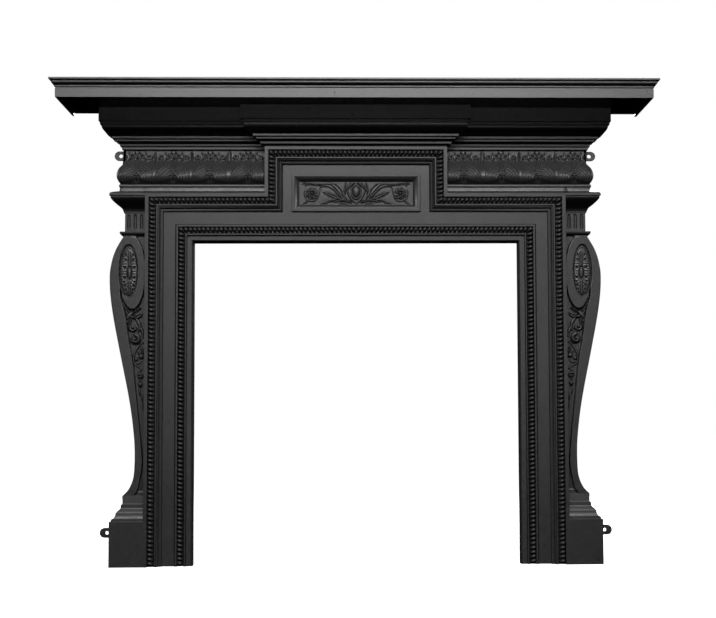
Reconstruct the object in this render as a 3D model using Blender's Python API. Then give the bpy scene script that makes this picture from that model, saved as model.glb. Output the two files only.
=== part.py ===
"""A cast-iron fireplace surround: one frame casting and the loose shelf on top of it.

Metres, +Z up. X runs across the opening, the front faces -Y and the back stands against the wall
at y = 0. The origin is on the wall, on the centre line, at the level of the hearth.
"""

import math

import bmesh
import bpy
from mathutils import Vector

# Opening and the moulded band around it
OPENING_WIDTH = 0.914
OPENING_HEIGHT = 0.904
REVEAL_DEPTH = 0.037
INNER_FILLET = 0.0186
INNER_ROPE_START = 0.0233
INNER_ROPE_END = 0.0427
INNER_COVE_START = 0.0475
FIELD_START = 0.0516
FIELD_DEPTH = 0.038
FIELD_END = 0.0830
FILLET_A_END = 0.0910
FILLET_B_START = 0.0945
FILLET_B_END = 0.1000
OUTER_ROPE_START = 0.1045
OUTER_ROPE_END = 0.1260
BAND_OUTER = 0.1365
INNER_FILLET_DEPTH = 0.046
FILLET_B_DEPTH = 0.054
FILLET_C_DEPTH = 0.060
BAND_DEPTH = 0.065

# Rope mouldings
ROPE_PITCH = 0.0123
ROPE_SLANT = 0.5
ROPE_RISE = 0.0080
ROPE_SEAT = 0.0045

# Tablet over the opening, where the outer mouldings step up
TABLET_HALF = 0.2567
TABLET_TOP = 1.1730
PANEL_HALF = 0.1810
PANEL_LOW = 0.9870
PANEL_HIGH = 1.0955
PANEL_DEPTH = 0.047
PANEL_FILLET = 0.0055
PANEL_SLOPE = 0.0155
PANEL_FLOOR = 0.032
ROSETTE_X = 0.1245
ROSETTE_RADIUS = 0.0200
ROSETTE_PETALS = 6

# Legs
LEG_SHIFT = 0.6195
LEG_INNER = OPENING_WIDTH / 2 + BAND_OUTER - 0.0025
PLINTH_HEIGHT = 0.1191
PLINTH_DEPTH = 0.0640
FOOT_LOW = 0.1657
FOOT_HIGH = 0.1870
CONSOLE_TOP = 0.9210
CONSOLE_FIELD = 0.033
CONSOLE_BORDER = 0.045
BORDER_WIDTH = 0.029
BORDER_SHARE = 0.5
BORDER_SET = 0.004
NECK_DEPTH = 0.025
FLUTE_WIDTH = 0.0090
FLUTE_PITCH = 0.0175
FLUTE_LOW = 0.9440
FLUTE_HIGH = 0.9846
FLUTE_FIRST = 0.0100
CAPITAL_TOP = 1.0400

# Oval on each console
OVAL_X = 0.6270
OVAL_Z = 0.8170
OVAL_HALF_X = 0.0350
OVAL_HALF_Z = 0.1030
OVAL_DEPTH = 0.0455
SINKING_X = 0.6367
SINKING_HALF_X = 0.0270
SINKING_HALF_Z = 0.0735
SINKING_FLOOR = 0.0375
PETALS = 10
PETAL_RISE = 0.0040
BUTTON_HALF_X = 0.0050
BUTTON_HALF_Z = 0.0140

# Frieze and cornice
RETURN_SHIFT = 0.6256
FRIEZE_INNER = TABLET_HALF - 0.0070
FRIEZE_LOW = 1.0685
FRIEZE_TOP = 1.1690
MOTIF_PITCH = 0.1045
MOTIF_FIRST = 0.3000
MOTIF_Z = 1.0900
MOTIFS = 4
PALM_RISE = 0.0045
CORNICE_TOP = 1.2767
FASCIA_LOW = 1.2397
BREAK_SHIFT = 0.1890
BREAK_FORWARD = 0.0395

# Lugs that take the wall screws
LUG_THICKNESS = 0.008
LUG_RADIUS = 0.0150
LUG_HOLE_RADIUS = 0.0055
UPPER_LUG_X = 0.6670
UPPER_LUG_Z = 1.1540
LOWER_LUG_X = 0.7000
LOWER_LUG_Z = 0.0888

# Shelf
SHELF_SHIFT = 0.5570
SHELF_TOP = 1.3210
SHELF_NOSING = 0.2650
SHELF_STEP = 0.2560
SHELF_FASCIA = 0.2500
SHELF_RIM = 0.0080
SHELF_RIM_LOW = 1.2700
SHELF_SOFFIT = CORNICE_TOP + 0.0003

# How far one body of the casting runs into the next
SINK = 0.0015
BACK_RELIEF = 0.0015

half_opening = OPENING_WIDTH / 2
casting_bodies = []
casting_cutters = []
casting_carving = []


def at(x, depth, z):
    """A point at a distance in front of the wall."""
    return Vector((x, -depth, z))


def make_object(name, points, faces):
    """A mesh object with its faces turned outward."""
    mesh = bpy.data.meshes.new(name)
    mesh.from_pydata([tuple(p) for p in points], [], faces)
    work = bmesh.new()
    work.from_mesh(mesh)
    bmesh.ops.remove_doubles(work, verts=work.verts, dist=0.00001)
    bmesh.ops.recalc_face_normals(work, faces=work.faces)
    work.to_mesh(mesh)
    work.free()
    shape = bpy.data.objects.new(name, mesh)
    bpy.context.scene.collection.objects.link(shape)
    return shape


def loft(name, rings):
    """A closed body through rings of points, with a flat cap at each end."""
    count = len(rings[0])
    points = [p for ring in rings for p in ring]
    faces = [tuple(range(count))]
    for level in range(len(rings) - 1):
        low = level * count
        high = low + count
        for i in range(count):
            j = (i + 1) % count
            faces.append((low + i, low + j, high + j, high + i))
    faces.append(tuple(range(len(points) - count, len(points))))
    return make_object(name, points, faces)


def add(shape):
    """Puts a body into the frame casting."""
    casting_bodies.append(shape)
    return shape


def cut(shape):
    """Takes a shape out of the frame casting."""
    casting_cutters.append(shape)
    return shape


def carve(shape):
    """Stands a carved form on the casting, after its sinkings are cut."""
    casting_carving.append(shape)
    return shape


def smooth_curve(points, steps):
    """Points of a Catmull-Rom curve through the given (a, b) pairs."""
    curve = []
    for i in range(len(points) - 1):
        p0 = Vector(points[max(i - 1, 0)])
        p1 = Vector(points[i])
        p2 = Vector(points[i + 1])
        p3 = Vector(points[min(i + 2, len(points) - 1)])
        for k in range(steps):
            t = k / steps
            curve.append(
                0.5
                * (
                    2 * p1
                    + (p2 - p0) * t
                    + (2 * p0 - 5 * p1 + 4 * p2 - p3) * t * t
                    + (3 * p1 - p0 - 3 * p2 + p3) * t * t * t
                )
            )
    curve.append(Vector(points[-1]))
    return curve


def height_of(pairs, z):
    """Reads a list of (z, value) pairs at one z."""
    if z <= pairs[0][0]:
        return pairs[0][1]
    for (z0, v0), (z1, v1) in zip(pairs, pairs[1:]):
        if z0 <= z <= z1 and z1 > z0:
            return v0 + (v1 - v0) * (z - z0) / (z1 - z0)
    return pairs[-1][1]


# Profiles, as height and depth in front of the wall


def base_profile():
    """Steps from the plinth block up to the foot of the console."""
    steps = 5
    rise = (FOOT_LOW - PLINTH_HEIGHT) / steps
    depths = (0.0615, 0.0525, 0.0470, 0.0410, 0.0345)
    profile = []
    for i, depth in enumerate(depths):
        low = PLINTH_HEIGHT + rise * i
        profile.append((low, depth))
        profile.append((low + rise * 0.75, depth - 0.0010))
    return profile


def console_outline():
    """The S line of the console, as height and distance from the centre line."""
    shape = [
        (FOOT_HIGH, 0.6455),
        (0.2020, 0.6360),
        (0.2210, 0.6255),
        (0.2540, 0.6178),
        (0.3040, 0.6150),
        (0.3540, 0.6164),
        (0.4200, 0.6239),
        (0.4870, 0.6353),
        (0.5880, 0.6558),
        (0.6880, 0.6756),
        (0.7550, 0.6852),
        (0.8060, 0.6870),
        (0.8560, 0.6790),
        (0.8900, 0.6653),
        (CONSOLE_TOP, 0.6510),
    ]
    return smooth_curve(shape, 2)


def capital_profile():
    """Collar, fluted neck and the moulding under the frieze ledge."""
    return [
        (CONSOLE_TOP, 0.0300),
        (0.9270, 0.0365),
        (0.9345, 0.0375),
        (0.9345, NECK_DEPTH),
        (0.9880, NECK_DEPTH),
        (0.9880, 0.0285),
        (0.9935, 0.0295),
        (1.0005, 0.0325),
        (1.0085, 0.0425),
        (1.0185, 0.0550),
        (1.0285, 0.0620),
        (1.0300, 0.0645),
        (CAPITAL_TOP, 0.0645),
    ]


def frieze_profile():
    """The swelling frieze between its bead and the cornice."""
    return [
        (1.0575, 0.0385),
        (1.0645, 0.0410),
        (1.0675, 0.0400),
        (FRIEZE_LOW, 0.0385),
        (1.0780, 0.0436),
        (1.0860, 0.0466),
        (1.0930, 0.0474),
        (1.1010, 0.0462),
        (1.1100, 0.0435),
        (1.1180, 0.0385),
        (1.1260, 0.0318),
        (1.1370, 0.0262),
        (1.1480, 0.0249),
        (FRIEZE_TOP, 0.0249),
    ]


def cornice_profile():
    """Fillets, cove, cyma and fascia of the cornice."""
    return [
        (1.1700, 0.0300),
        (1.1780, 0.0300),
        (1.1800, 0.0345),
        (1.1840, 0.0410),
        (1.1885, 0.0480),
        (1.1890, 0.0505),
        (1.1939, 0.0505),
        (1.1942, 0.0590),
        (1.2003, 0.0590),
        (1.2021, 0.0620),
        (1.2070, 0.0650),
        (1.2130, 0.0700),
        (1.2200, 0.0770),
        (1.2290, 0.0864),
        (1.2300, 0.0885),
        (1.2378, 0.0885),
        (FASCIA_LOW, 0.0914),
        (CORNICE_TOP, 0.0914),
    ]


# The moulded band around the opening


def plain_path(offset):
    """Corners of the opening's own line, moved outward."""
    x = half_opening + offset
    z = OPENING_HEIGHT + offset
    return [(-x, 0.0), (-x, z), (x, z), (x, 0.0)]


def stepped_path(offset):
    """Corners of the line that steps up around the tablet, moved outward."""
    x = half_opening + offset
    z = OPENING_HEIGHT + offset
    ear_x = TABLET_HALF - (BAND_OUTER - offset)
    ear_z = TABLET_TOP - (BAND_OUTER - offset)
    left = [(-x, 0.0), (-x, z), (-ear_x, z), (-ear_x, ear_z)]
    return left + [(-px, pz) for px, pz in reversed(left)]


def on_path(path, offset, depth):
    return [at(x, depth, z) for x, z in path(offset)]


def along(start, end, share):
    return start + (end - start) * min(max(share, 0.0), 1.0)


def rope_lay(start, end, share):
    """Which way a strand leans: towards the centre line from the top down, on both halves."""
    if abs(end.z - start.z) > abs(end.x - start.x):
        return ROPE_SLANT if end.z > start.z else -ROPE_SLANT
    across = start.x + (end.x - start.x) * share
    if abs(across) < ROPE_PITCH / 2:
        return 0.0
    return math.copysign(ROPE_SLANT, across)


def rope_strip(path, low, high, seat):
    """Triangles of one rope, a slanting stud for each strand, and the points on its two edges."""
    inner = on_path(path, low, seat)
    outer = on_path(path, high, seat)
    crest = on_path(path, (low + high) / 2, seat + ROPE_RISE)
    faces = []
    edges = ([], [])
    for leg in range(len(inner) - 1):
        strands = max(2, 2 * round((crest[leg + 1] - crest[leg]).length / ROPE_PITCH / 2))
        near = []
        far = []
        for i in range(strands + 1):
            lay = rope_lay(crest[leg], crest[leg + 1], i / strands)
            near.append(along(inner[leg], inner[leg + 1], (i - lay) / strands))
            far.append(along(outer[leg], outer[leg + 1], (i + lay) / strands))
        faces.append((inner[leg], outer[leg], far[0], near[0]))
        faces.append((near[-1], far[-1], outer[leg + 1], inner[leg + 1]))
        for i in range(strands):
            top = along(crest[leg], crest[leg + 1], (i + 0.5) / strands)
            corners = (near[i], near[i + 1], far[i + 1], far[i])
            for k in range(4):
                faces.append((corners[k], corners[(k + 1) % 4], top))
        edges[0].append([inner[leg], *near, inner[leg + 1]])
        edges[1].append([outer[leg], *far, outer[leg + 1]])
    return faces, *edges


def fan_strip(rope_edge, far):
    """Triangles between a rope's edge and a straight line beside it."""
    triangles = []
    for leg, edge in enumerate(rope_edge):
        half = len(edge) // 2
        for i in range(len(edge) - 1):
            corner = far[leg] if i < half else far[leg + 1]
            triangles.append((corner, edge[i], edge[i + 1]))
        triangles.append((far[leg], edge[half], far[leg + 1]))
    return triangles


def plain_strip(path, start, end):
    """Quads between two lines of a moulding."""
    a = on_path(path, *start)
    b = on_path(path, *end)
    return [(a[i], a[i + 1], b[i + 1], b[i]) for i in range(len(a) - 1)]


def build_architrave():
    """The whole moulded band as one body, from the opening's edge to the outer band."""
    inner_seat = INNER_FILLET_DEPTH - ROPE_SEAT
    outer_seat = FILLET_C_DEPTH - ROPE_SEAT
    inner_before = [(0.0, 0.0), (0.0, REVEAL_DEPTH), (INNER_FILLET - 0.001, REVEAL_DEPTH)]
    inner_before += [(INNER_FILLET, INNER_FILLET_DEPTH)]
    inner_before += [(INNER_ROPE_START, INNER_FILLET_DEPTH)]
    inner_after = [(INNER_ROPE_END, INNER_FILLET_DEPTH), (INNER_COVE_START, INNER_FILLET_DEPTH)]
    inner_after += [(FIELD_START, FIELD_DEPTH)]
    outer_before = [(FIELD_END, FIELD_DEPTH), (FIELD_END + 0.002, INNER_FILLET_DEPTH)]
    outer_before += [(FILLET_A_END, INNER_FILLET_DEPTH), (FILLET_B_START, FILLET_B_DEPTH)]
    outer_before += [(FILLET_B_END, FILLET_B_DEPTH), (FILLET_B_END + 0.0015, FILLET_C_DEPTH)]
    outer_before += [(OUTER_ROPE_START, FILLET_C_DEPTH)]
    outer_after = [(OUTER_ROPE_END, BAND_DEPTH), (BAND_OUTER, BAND_DEPTH), (BAND_OUTER, 0.0)]

    faces = []
    for path, before, after, low, high, seat in (
        (plain_path, inner_before, inner_after, INNER_ROPE_START, INNER_ROPE_END, inner_seat),
        (stepped_path, outer_before, outer_after, OUTER_ROPE_START, OUTER_ROPE_END, outer_seat),
    ):
        for run in (before, after):
            for start, end in zip(run, run[1:]):
                faces += plain_strip(path, start, end)
        rope, near_edge, far_edge = rope_strip(path, low, high, seat)
        faces += rope
        faces += fan_strip(near_edge, on_path(path, *before[-1]))
        faces += fan_strip(far_edge, on_path(path, *after[0]))

    field_inner = on_path(plain_path, FIELD_START, FIELD_DEPTH)
    field_outer = on_path(stepped_path, FIELD_END, FIELD_DEPTH)
    faces.append(tuple(field_inner + list(reversed(field_outer))))
    back_inner = on_path(plain_path, 0.0, 0.0)
    back_outer = on_path(stepped_path, BAND_OUTER, 0.0)
    faces.append(tuple(back_inner + list(reversed(back_outer))))

    section = inner_before + [(INNER_ROPE_START, inner_seat), (INNER_ROPE_END, inner_seat)]
    section += inner_after + outer_before
    section += [(OUTER_ROPE_START, outer_seat), (OUTER_ROPE_END, outer_seat)] + outer_after
    for side in (-1, 1):
        faces.append(tuple(at(side * (half_opening + o), d, 0.0) for o, d in section))

    points = []
    indexed = []
    for face in faces:
        first = len(points)
        points.extend(face)
        indexed.append(tuple(range(first, first + len(face))))
    return add(make_object("architrave", points, indexed))


def build_panel():
    """The raised frame in the tablet and the sunk floor of its relief."""
    middle = (PANEL_LOW + PANEL_HIGH) / 2
    half_z = (PANEL_HIGH - PANEL_LOW) / 2

    def ring(inset, depth):
        x = PANEL_HALF - inset
        z = half_z - inset
        corners = ((-x, -z), (x, -z), (x, z), (-x, z))
        return [at(px, depth, middle + pz) for px, pz in corners]

    low = FIELD_DEPTH - SINK
    add(loft("panel_frame", [ring(0, low), ring(0, PANEL_DEPTH - 0.002), ring(0.002, PANEL_DEPTH)]))
    slope_end = PANEL_FILLET + PANEL_SLOPE
    cut(
        loft(
            "panel_sinking",
            [
                ring(PANEL_FILLET - 0.002, PANEL_DEPTH + 0.004),
                ring(PANEL_FILLET, PANEL_DEPTH - 0.001),
                ring(PANEL_FILLET + PANEL_SLOPE * 0.45, PANEL_DEPTH - 0.004),
                ring(slope_end - 0.003, PANEL_FLOOR + 0.004),
                ring(slope_end, PANEL_FLOOR),
            ],
        )
    )


# Legs, frieze and cornice


def slab(side, level):
    """One level of a leg: height, depth, outer and inner distance from the centre line."""
    z, depth, outer, inner = level
    corners = ((inner, BACK_RELIEF), (inner, depth), (outer, depth), (outer, BACK_RELIEF))
    return [at(side * x, d, z) for x, d in corners]


def leg_levels():
    """Every level of a leg, from the hearth to the foot of the cornice."""
    levels = []

    def level(z, depth, outer, inner=LEG_INNER):
        levels.append((z, depth, outer, inner))

    level(0.0, PLINTH_DEPTH, LEG_SHIFT + PLINTH_DEPTH)
    level(PLINTH_HEIGHT, PLINTH_DEPTH, LEG_SHIFT + PLINTH_DEPTH)
    for z, depth in base_profile():
        level(z, depth, LEG_SHIFT + depth)
    foot = 0.0290
    level(FOOT_LOW, foot, LEG_SHIFT + foot)
    level(FOOT_HIGH, foot, LEG_SHIFT + foot)
    for z, x in console_outline()[::2]:
        level(z, CONSOLE_FIELD, x - BORDER_SET)
    for z, depth in capital_profile():
        level(z, depth, LEG_SHIFT + depth)
    level(1.0430, 0.0630, 0.6835)
    level(1.0490, 0.0560, 0.6765)
    level(1.0530, 0.0480, 0.6690)
    for z, depth in frieze_profile():
        level(z, depth, RETURN_SHIFT + depth, FRIEZE_INNER)
    level(FRIEZE_TOP + 0.0060, 0.0249, RETURN_SHIFT + 0.0249, FRIEZE_INNER)
    return levels


def ledge_levels():
    """The sloping ledge between the band over the opening and the frieze."""
    inner = FRIEZE_INNER
    outer = half_opening + BAND_OUTER + 0.004
    return [
        (1.0350, 0.0610, outer, inner),
        (1.0385, 0.0635, outer, inner),
        (1.0430, 0.0625, outer, inner),
        (1.0490, 0.0555, outer, inner),
        (1.0530, 0.0475, outer, inner),
        (1.0585, 0.0380, outer, inner),
        (1.0600, 0.0300, outer, inner),
    ]


def build_legs():
    for side in (-1, 1):
        add(loft("leg", [slab(side, level) for level in leg_levels()]))
        add(loft("ledge", [slab(side, level) for level in ledge_levels()]))


def build_cornice():
    """The cornice along the wall and the part of it that breaks forward over the tablet."""

    def ring(half, depth, back, z):
        corners = ((-half, back), (-half, depth), (half, depth), (half, back))
        return [at(x, d, z) for x, d in corners]

    profile = cornice_profile()
    relief = BACK_RELIEF / 2
    side_rings = [ring(RETURN_SHIFT + d, d, relief, z) for z, d in profile]
    add(loft("cornice", side_rings))
    break_rings = []
    for z, d in profile:
        depth = d + BREAK_FORWARD
        raised = max(z, TABLET_TOP + 0.0010) if z < 1.1780 else z
        break_rings.append(ring(BREAK_SHIFT + depth, depth, 0.0120, raised))
    neck = BAND_DEPTH - 0.0010
    below = [ring(TABLET_HALF - 0.0010, neck, 0.0120, z) for z in (TABLET_TOP - 0.003, TABLET_TOP + 0.001)]
    add(loft("cornice_break", below + break_rings))


# Carved work on a leg


def leaf(name, spine, widths, rises, surface, side=1):
    """A low leaf with a ridge: spine points (x, z) seen on one side, half widths and rises."""
    rings = []
    count = len(spine)
    for i, (x, z) in enumerate(spine):
        x0, z0 = spine[max(i - 1, 0)]
        x1, z1 = spine[min(i + 1, count - 1)]
        run = math.hypot(x1 - x0, z1 - z0)
        nx = -(z1 - z0) / run * widths[i]
        nz = (x1 - x0) / run * widths[i]
        left = (x + nx, z + nz)
        right = (x - nx, z - nz)
        rings.append(
            [
                at(side * left[0], surface(*left) - 0.0006, left[1]),
                at(side * x, surface(x, z) + rises[i], z),
                at(side * right[0], surface(*right) - 0.0006, right[1]),
                at(side * x, surface(x, z) - 0.0040, z),
            ]
        )
    return carve(loft(name, rings))


def fan(name, centre, tips, clefts, shares, rise, surface, side=1):
    """Lobes spreading from a centre: a crest runs to each tip and a hollow to each cleft after it."""
    ends = []
    for tip, cleft in zip(tips, clefts):
        ends.append((tip, rise))
        ends.append((cleft, rise * 0.2))
    cx, cz = centre
    points = [at(side * cx, surface(cx, cz) - 0.020, cz), at(side * cx, surface(cx, cz) + rise * 0.5, cz)]
    for share in (*shares, 1.0):
        for (x, z), height in ends:
            px = cx + (x - cx) * share
            pz = cz + (z - cz) * share
            raised = height if share < 1.0 else -0.0006
            points.append(at(side * px, surface(px, pz) + raised, pz))
    count = len(ends)
    faces = []
    for i in range(count):
        j = (i + 1) % count
        faces.append((1, 2 + i, 2 + j))
        for ring in range(len(shares)):
            low = 2 + ring * count
            high = low + count
            faces.append((low + i, high + i, high + j))
            faces.append((low + i, high + j, low + j))
        last = 2 + len(shares) * count
        faces.append((0, last + j, last + i))
    return carve(make_object(name, points, faces))


def boss(name, x, z, half_x, half_z, rise, surface, sides=8):
    """A rounded button standing on a surface."""
    base = surface(abs(x), z)
    rings = []
    for share, depth in ((1.0, base - 0.004), (0.80, base + rise * 0.6), (0.35, base + rise)):
        rings.append(ellipse(x, z, half_x * share, half_z * share, depth, sides))
    return carve(loft(name, rings))


def ellipse(x, z, half_x, half_z, depth, sides):
    turns = [2 * math.pi * i / sides for i in range(sides)]
    return [at(x + half_x * math.cos(t), depth, z + half_z * math.sin(t)) for t in turns]


def build_console(side):
    """Raised border, oval with its patera, and the hanging husks of one console."""
    outline = console_outline()
    outer = []
    inner = []
    for z, x in outline:
        board = x - (half_opening + BAND_OUTER)
        outer.append((x, z))
        inner.append((x - min(BORDER_WIDTH, BORDER_SHARE * board), z))
    rings = []
    for (x0, z0), (x1, z1) in zip(outer, inner):
        rings.append(
            [
                at(side * x0, BACK_RELIEF + 0.003, z0),
                at(side * x0, CONSOLE_BORDER, z0),
                at(side * (x1 + 0.001), CONSOLE_BORDER, z1),
                at(side * x1, CONSOLE_FIELD - SINK, z1),
            ]
        )
    add(loft("console_border", rings))

    sides = 24
    add(
        loft(
            "oval",
            [
                ellipse(side * OVAL_X, OVAL_Z, OVAL_HALF_X, OVAL_HALF_Z, 0.020, sides),
                ellipse(side * OVAL_X, OVAL_Z, OVAL_HALF_X, OVAL_HALF_Z, OVAL_DEPTH - 0.003, sides),
                ellipse(side * OVAL_X, OVAL_Z, OVAL_HALF_X - 0.003, OVAL_HALF_Z - 0.003, OVAL_DEPTH, sides),
            ],
        )
    )
    cut(
        loft(
            "oval_sinking",
            [
                ellipse(side * SINKING_X, OVAL_Z, SINKING_HALF_X, SINKING_HALF_Z, 0.060, sides),
                ellipse(side * SINKING_X, OVAL_Z, SINKING_HALF_X, SINKING_HALF_Z, OVAL_DEPTH - 0.001, sides),
                ellipse(
                    side * SINKING_X, OVAL_Z, SINKING_HALF_X - 0.003, SINKING_HALF_Z - 0.003, SINKING_FLOOR, sides
                ),
            ],
        )
    )


def sinking_surface(x, z):
    return SINKING_FLOOR


def build_patera(side):
    """A flower of petals drawn out to fill the oval, with a long button."""
    tips = []
    clefts = []
    for i in range(PETALS):
        turn = 2 * math.pi * (i + 0.5) / PETALS
        cleft = turn + math.pi / PETALS
        reach_x = SINKING_HALF_X - 0.005
        reach_z = SINKING_HALF_Z - 0.006
        tips.append((SINKING_X + reach_x * math.cos(turn), OVAL_Z + reach_z * math.sin(turn)))
        clefts.append((SINKING_X + 0.8 * reach_x * math.cos(cleft), OVAL_Z + 0.8 * reach_z * math.sin(cleft)))
    fan("patera", (SINKING_X, OVAL_Z), tips, clefts, (0.65,), PETAL_RISE, sinking_surface, side)
    boss("patera_button", side * SINKING_X, OVAL_Z, BUTTON_HALF_X, BUTTON_HALF_Z, 0.0060, sinking_surface)


def console_surface(x, z):
    return CONSOLE_FIELD


def build_husks(side):
    """Ribbon, leaves and buds that hang below the oval and grow smaller downward."""
    top = OVAL_Z - OVAL_HALF_Z - 0.002
    band = half_opening + BAND_OUTER
    strands = (
        ((0.016, 0.002), (0.034, 0.010), (0.050, 0.030), 0.0065, 0.0070),
        ((0.030, 0.004), (0.016, 0.008), (0.004, 0.020), 0.0070, 0.0070),
        ((0.034, 0.020), (0.030, 0.040), (0.034, 0.056), 0.0060, 0.0080),
        ((0.006, 0.030), (0.012, 0.050), (0.010, 0.072), 0.0050, 0.0065),
        ((0.004, 0.078), (0.022, 0.104), (0.024, 0.130), 0.0060, 0.0070),
        ((0.020, 0.142), (0.012, 0.160), (0.007, 0.176), 0.0050, 0.0060),
        ((0.008, 0.222), (0.006, 0.246), (0.004, 0.270), 0.0032, 0.0045),
    )
    for start, bend, tip, width, rise in strands:
        spine = [(band + out, top - down) for out, down in (start, bend, tip)]
        leaf("husk_leaf", spine, (width * 0.5, width, width * 0.35), (rise * 0.6, rise, rise * 0.4), console_surface, side)
    buds = ((0.033, 0.040, 0.0110), (0.023, 0.072, 0.0150), (0.013, 0.130, 0.0095), (0.010, 0.170, 0.0080), (0.009, 0.198, 0.0060))
    for out, down, radius in buds:
        boss("bud", side * (band + out), top - down, radius, radius, radius * 0.75, console_surface)


def build_flutes(side):
    """Three round-headed flutes in the neck of each leg."""
    sides = 4
    radius = FLUTE_WIDTH / 2
    for i in range(3):
        x = side * (LEG_SHIFT + NECK_DEPTH - FLUTE_FIRST - FLUTE_PITCH * i)
        rings = []
        for share, depth in ((1.2, NECK_DEPTH + 0.002), (0.5, NECK_DEPTH - 0.0040)):
            ring = []
            for k in range(sides + 1):
                turn = math.pi * k / sides
                ring.append(
                    at(x + radius * share * math.cos(turn), depth, FLUTE_HIGH - radius + radius * share * math.sin(turn))
                )
            ring.append(at(x - radius * share, depth, FLUTE_LOW))
            ring.append(at(x + radius * share, depth, FLUTE_LOW))
            rings.append(ring)
        cut(loft("flute", rings))


# Carved work on the frieze and in the panel


def frieze_surface(x, z):
    return height_of(frieze_profile(), z)


def build_frieze_leaves(side):
    """Palm leaves along the frieze, each with seven lobes that spread from its foot."""
    spread = ((-115, 0.0520), (-78, 0.0520), (-42, 0.0580), (0, 0.0700), (42, 0.0580), (78, 0.0520), (115, 0.0520))
    for i in range(MOTIFS):
        centre = MOTIF_FIRST + MOTIF_PITCH * i
        squeeze = 0.90 if i == MOTIFS - 1 else 0.96
        tips = []
        clefts = []
        for k, (lean, reach) in enumerate(spread):
            turn = math.radians(lean)
            tips.append((centre + squeeze * reach * math.sin(turn), MOTIF_Z + reach * math.cos(turn)))
            if k + 1 < len(spread):
                between = math.radians((lean + spread[k + 1][0]) / 2)
                depth = 0.68 * reach
                clefts.append((centre + squeeze * depth * math.sin(between), MOTIF_Z + depth * math.cos(between)))
        clefts.append((centre, MOTIF_Z - 0.0120))
        fan("palm_leaf", (centre, MOTIF_Z), tips, clefts, (0.35, 0.72), PALM_RISE, frieze_surface, side)


def panel_surface(x, z):
    return PANEL_FLOOR


def build_relief():
    """Cabochon in a cartouche, with leaves that sweep out to a rosette at each side."""
    middle = (PANEL_LOW + PANEL_HIGH) / 2
    boss("cartouche", 0.0, middle, 0.0185, 0.0265, 0.0050, panel_surface, 12)
    boss("cabochon", 0.0, middle + 0.0010, 0.0115, 0.0180, 0.0105, panel_surface, 10)
    leaves = (
        ((0.012, -0.024), (0.050, -0.020), (0.104, -0.026), 0.0055),
        ((0.022, -0.018), (0.056, 0.012), (0.098, 0.016), 0.0055),
        ((0.044, -0.014), (0.070, -0.008), (0.096, 0.004), 0.0080),
        ((0.016, -0.006), (0.026, 0.014), (0.030, 0.029), 0.0050),
        ((0.028, -0.004), (0.036, 0.012), (0.044, 0.026), 0.0045),
        ((0.094, 0.022), (0.118, 0.027), (0.152, 0.025), 0.0045),
        ((0.104, -0.024), (0.126, -0.029), (0.150, -0.022), 0.0045),
    )
    for side in (-1, 1):
        for start, bend, tip, width in leaves:
            spine = [(x, middle + z) for x, z in (start, bend, tip)]
            leaf("relief_leaf", spine, (width * 0.5, width, width * 0.3), (0.0030, 0.0055, 0.0015), panel_surface, side)
        tips = []
        clefts = []
        for i in range(ROSETTE_PETALS):
            turn = 2 * math.pi * i / ROSETTE_PETALS
            tips.append((ROSETTE_X + ROSETTE_RADIUS * math.cos(turn), middle + ROSETTE_RADIUS * math.sin(turn)))
            turn += 1.35 * math.pi / ROSETTE_PETALS
            cleft = ROSETTE_RADIUS * 0.82
            clefts.append((ROSETTE_X + cleft * math.cos(turn), middle + cleft * math.sin(turn)))
        fan("rosette", (ROSETTE_X, middle), tips, clefts, (0.6,), 0.0065, panel_surface, side)
        boss("rosette_eye", side * ROSETTE_X, middle, 0.0050, 0.0050, 0.0085, panel_surface, 6)


def build_lugs():
    """Flat ears against the wall, each with a screw hole."""
    sides = 8
    for side in (-1, 1):
        for x, z in ((UPPER_LUG_X, UPPER_LUG_Z), (LOWER_LUG_X, LOWER_LUG_Z)):
            rings = []
            for depth in (BACK_RELIEF + 0.0005, LUG_THICKNESS):
                ring = []
                for k in range(sides + 1):
                    turn = -math.pi / 2 + math.pi * k / sides
                    ring.append(at(side * (x + LUG_RADIUS * math.cos(turn)), depth, z + LUG_RADIUS * math.sin(turn)))
                ring.append(at(side * (x - 0.030), depth, z + LUG_RADIUS))
                ring.append(at(side * (x - 0.030), depth, z - LUG_RADIUS))
                rings.append(ring)
            add(loft("lug", rings))
            hole = [ellipse(side * x, z, LUG_HOLE_RADIUS, LUG_HOLE_RADIUS, d, 10) for d in (-0.01, 0.02)]
            cut(loft("lug_hole", hole))


# Shelf


def build_shelf(iron):
    """The moulded shelf, a loose casting that rests on the cornice."""
    profile = [
        (SHELF_RIM_LOW, SHELF_FASCIA - 0.0005),
        (1.2910, SHELF_FASCIA),
        (1.2930, SHELF_FASCIA + 0.0010),
        (1.2975, SHELF_FASCIA + 0.0030),
        (1.3030, SHELF_STEP),
        (1.3085, SHELF_STEP),
        (1.3105, SHELF_NOSING - 0.0010),
        (1.3115, SHELF_NOSING),
        (SHELF_TOP - 0.0010, SHELF_NOSING),
        (SHELF_TOP, SHELF_NOSING - 0.0010),
    ]
    rings = []
    for z, depth in profile:
        half = SHELF_SHIFT + depth
        rings.append([at(x, d, z) for x, d in ((-half, 0), (-half, depth), (half, depth), (half, 0))])
    shelf = loft("mantel_shelf", rings)
    half = SHELF_SHIFT + SHELF_FASCIA - SHELF_RIM
    depth = SHELF_FASCIA - SHELF_RIM
    corners = ((-half, -0.01), (-half, depth), (half, depth), (half, -0.01))
    pan = loft("shelf_pan", [[at(x, d, z) for x, d in corners] for z in (SHELF_RIM_LOW - 0.01, SHELF_SOFFIT)])
    pan.hide_render = True
    pan.display_type = "WIRE"
    hollow = shelf.modifiers.new("pan", "BOOLEAN")
    hollow.operation = "DIFFERENCE"
    hollow.solver = "EXACT"
    hollow.object = pan
    shelf.data.materials.append(iron)
    return shelf


# Joining


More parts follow.
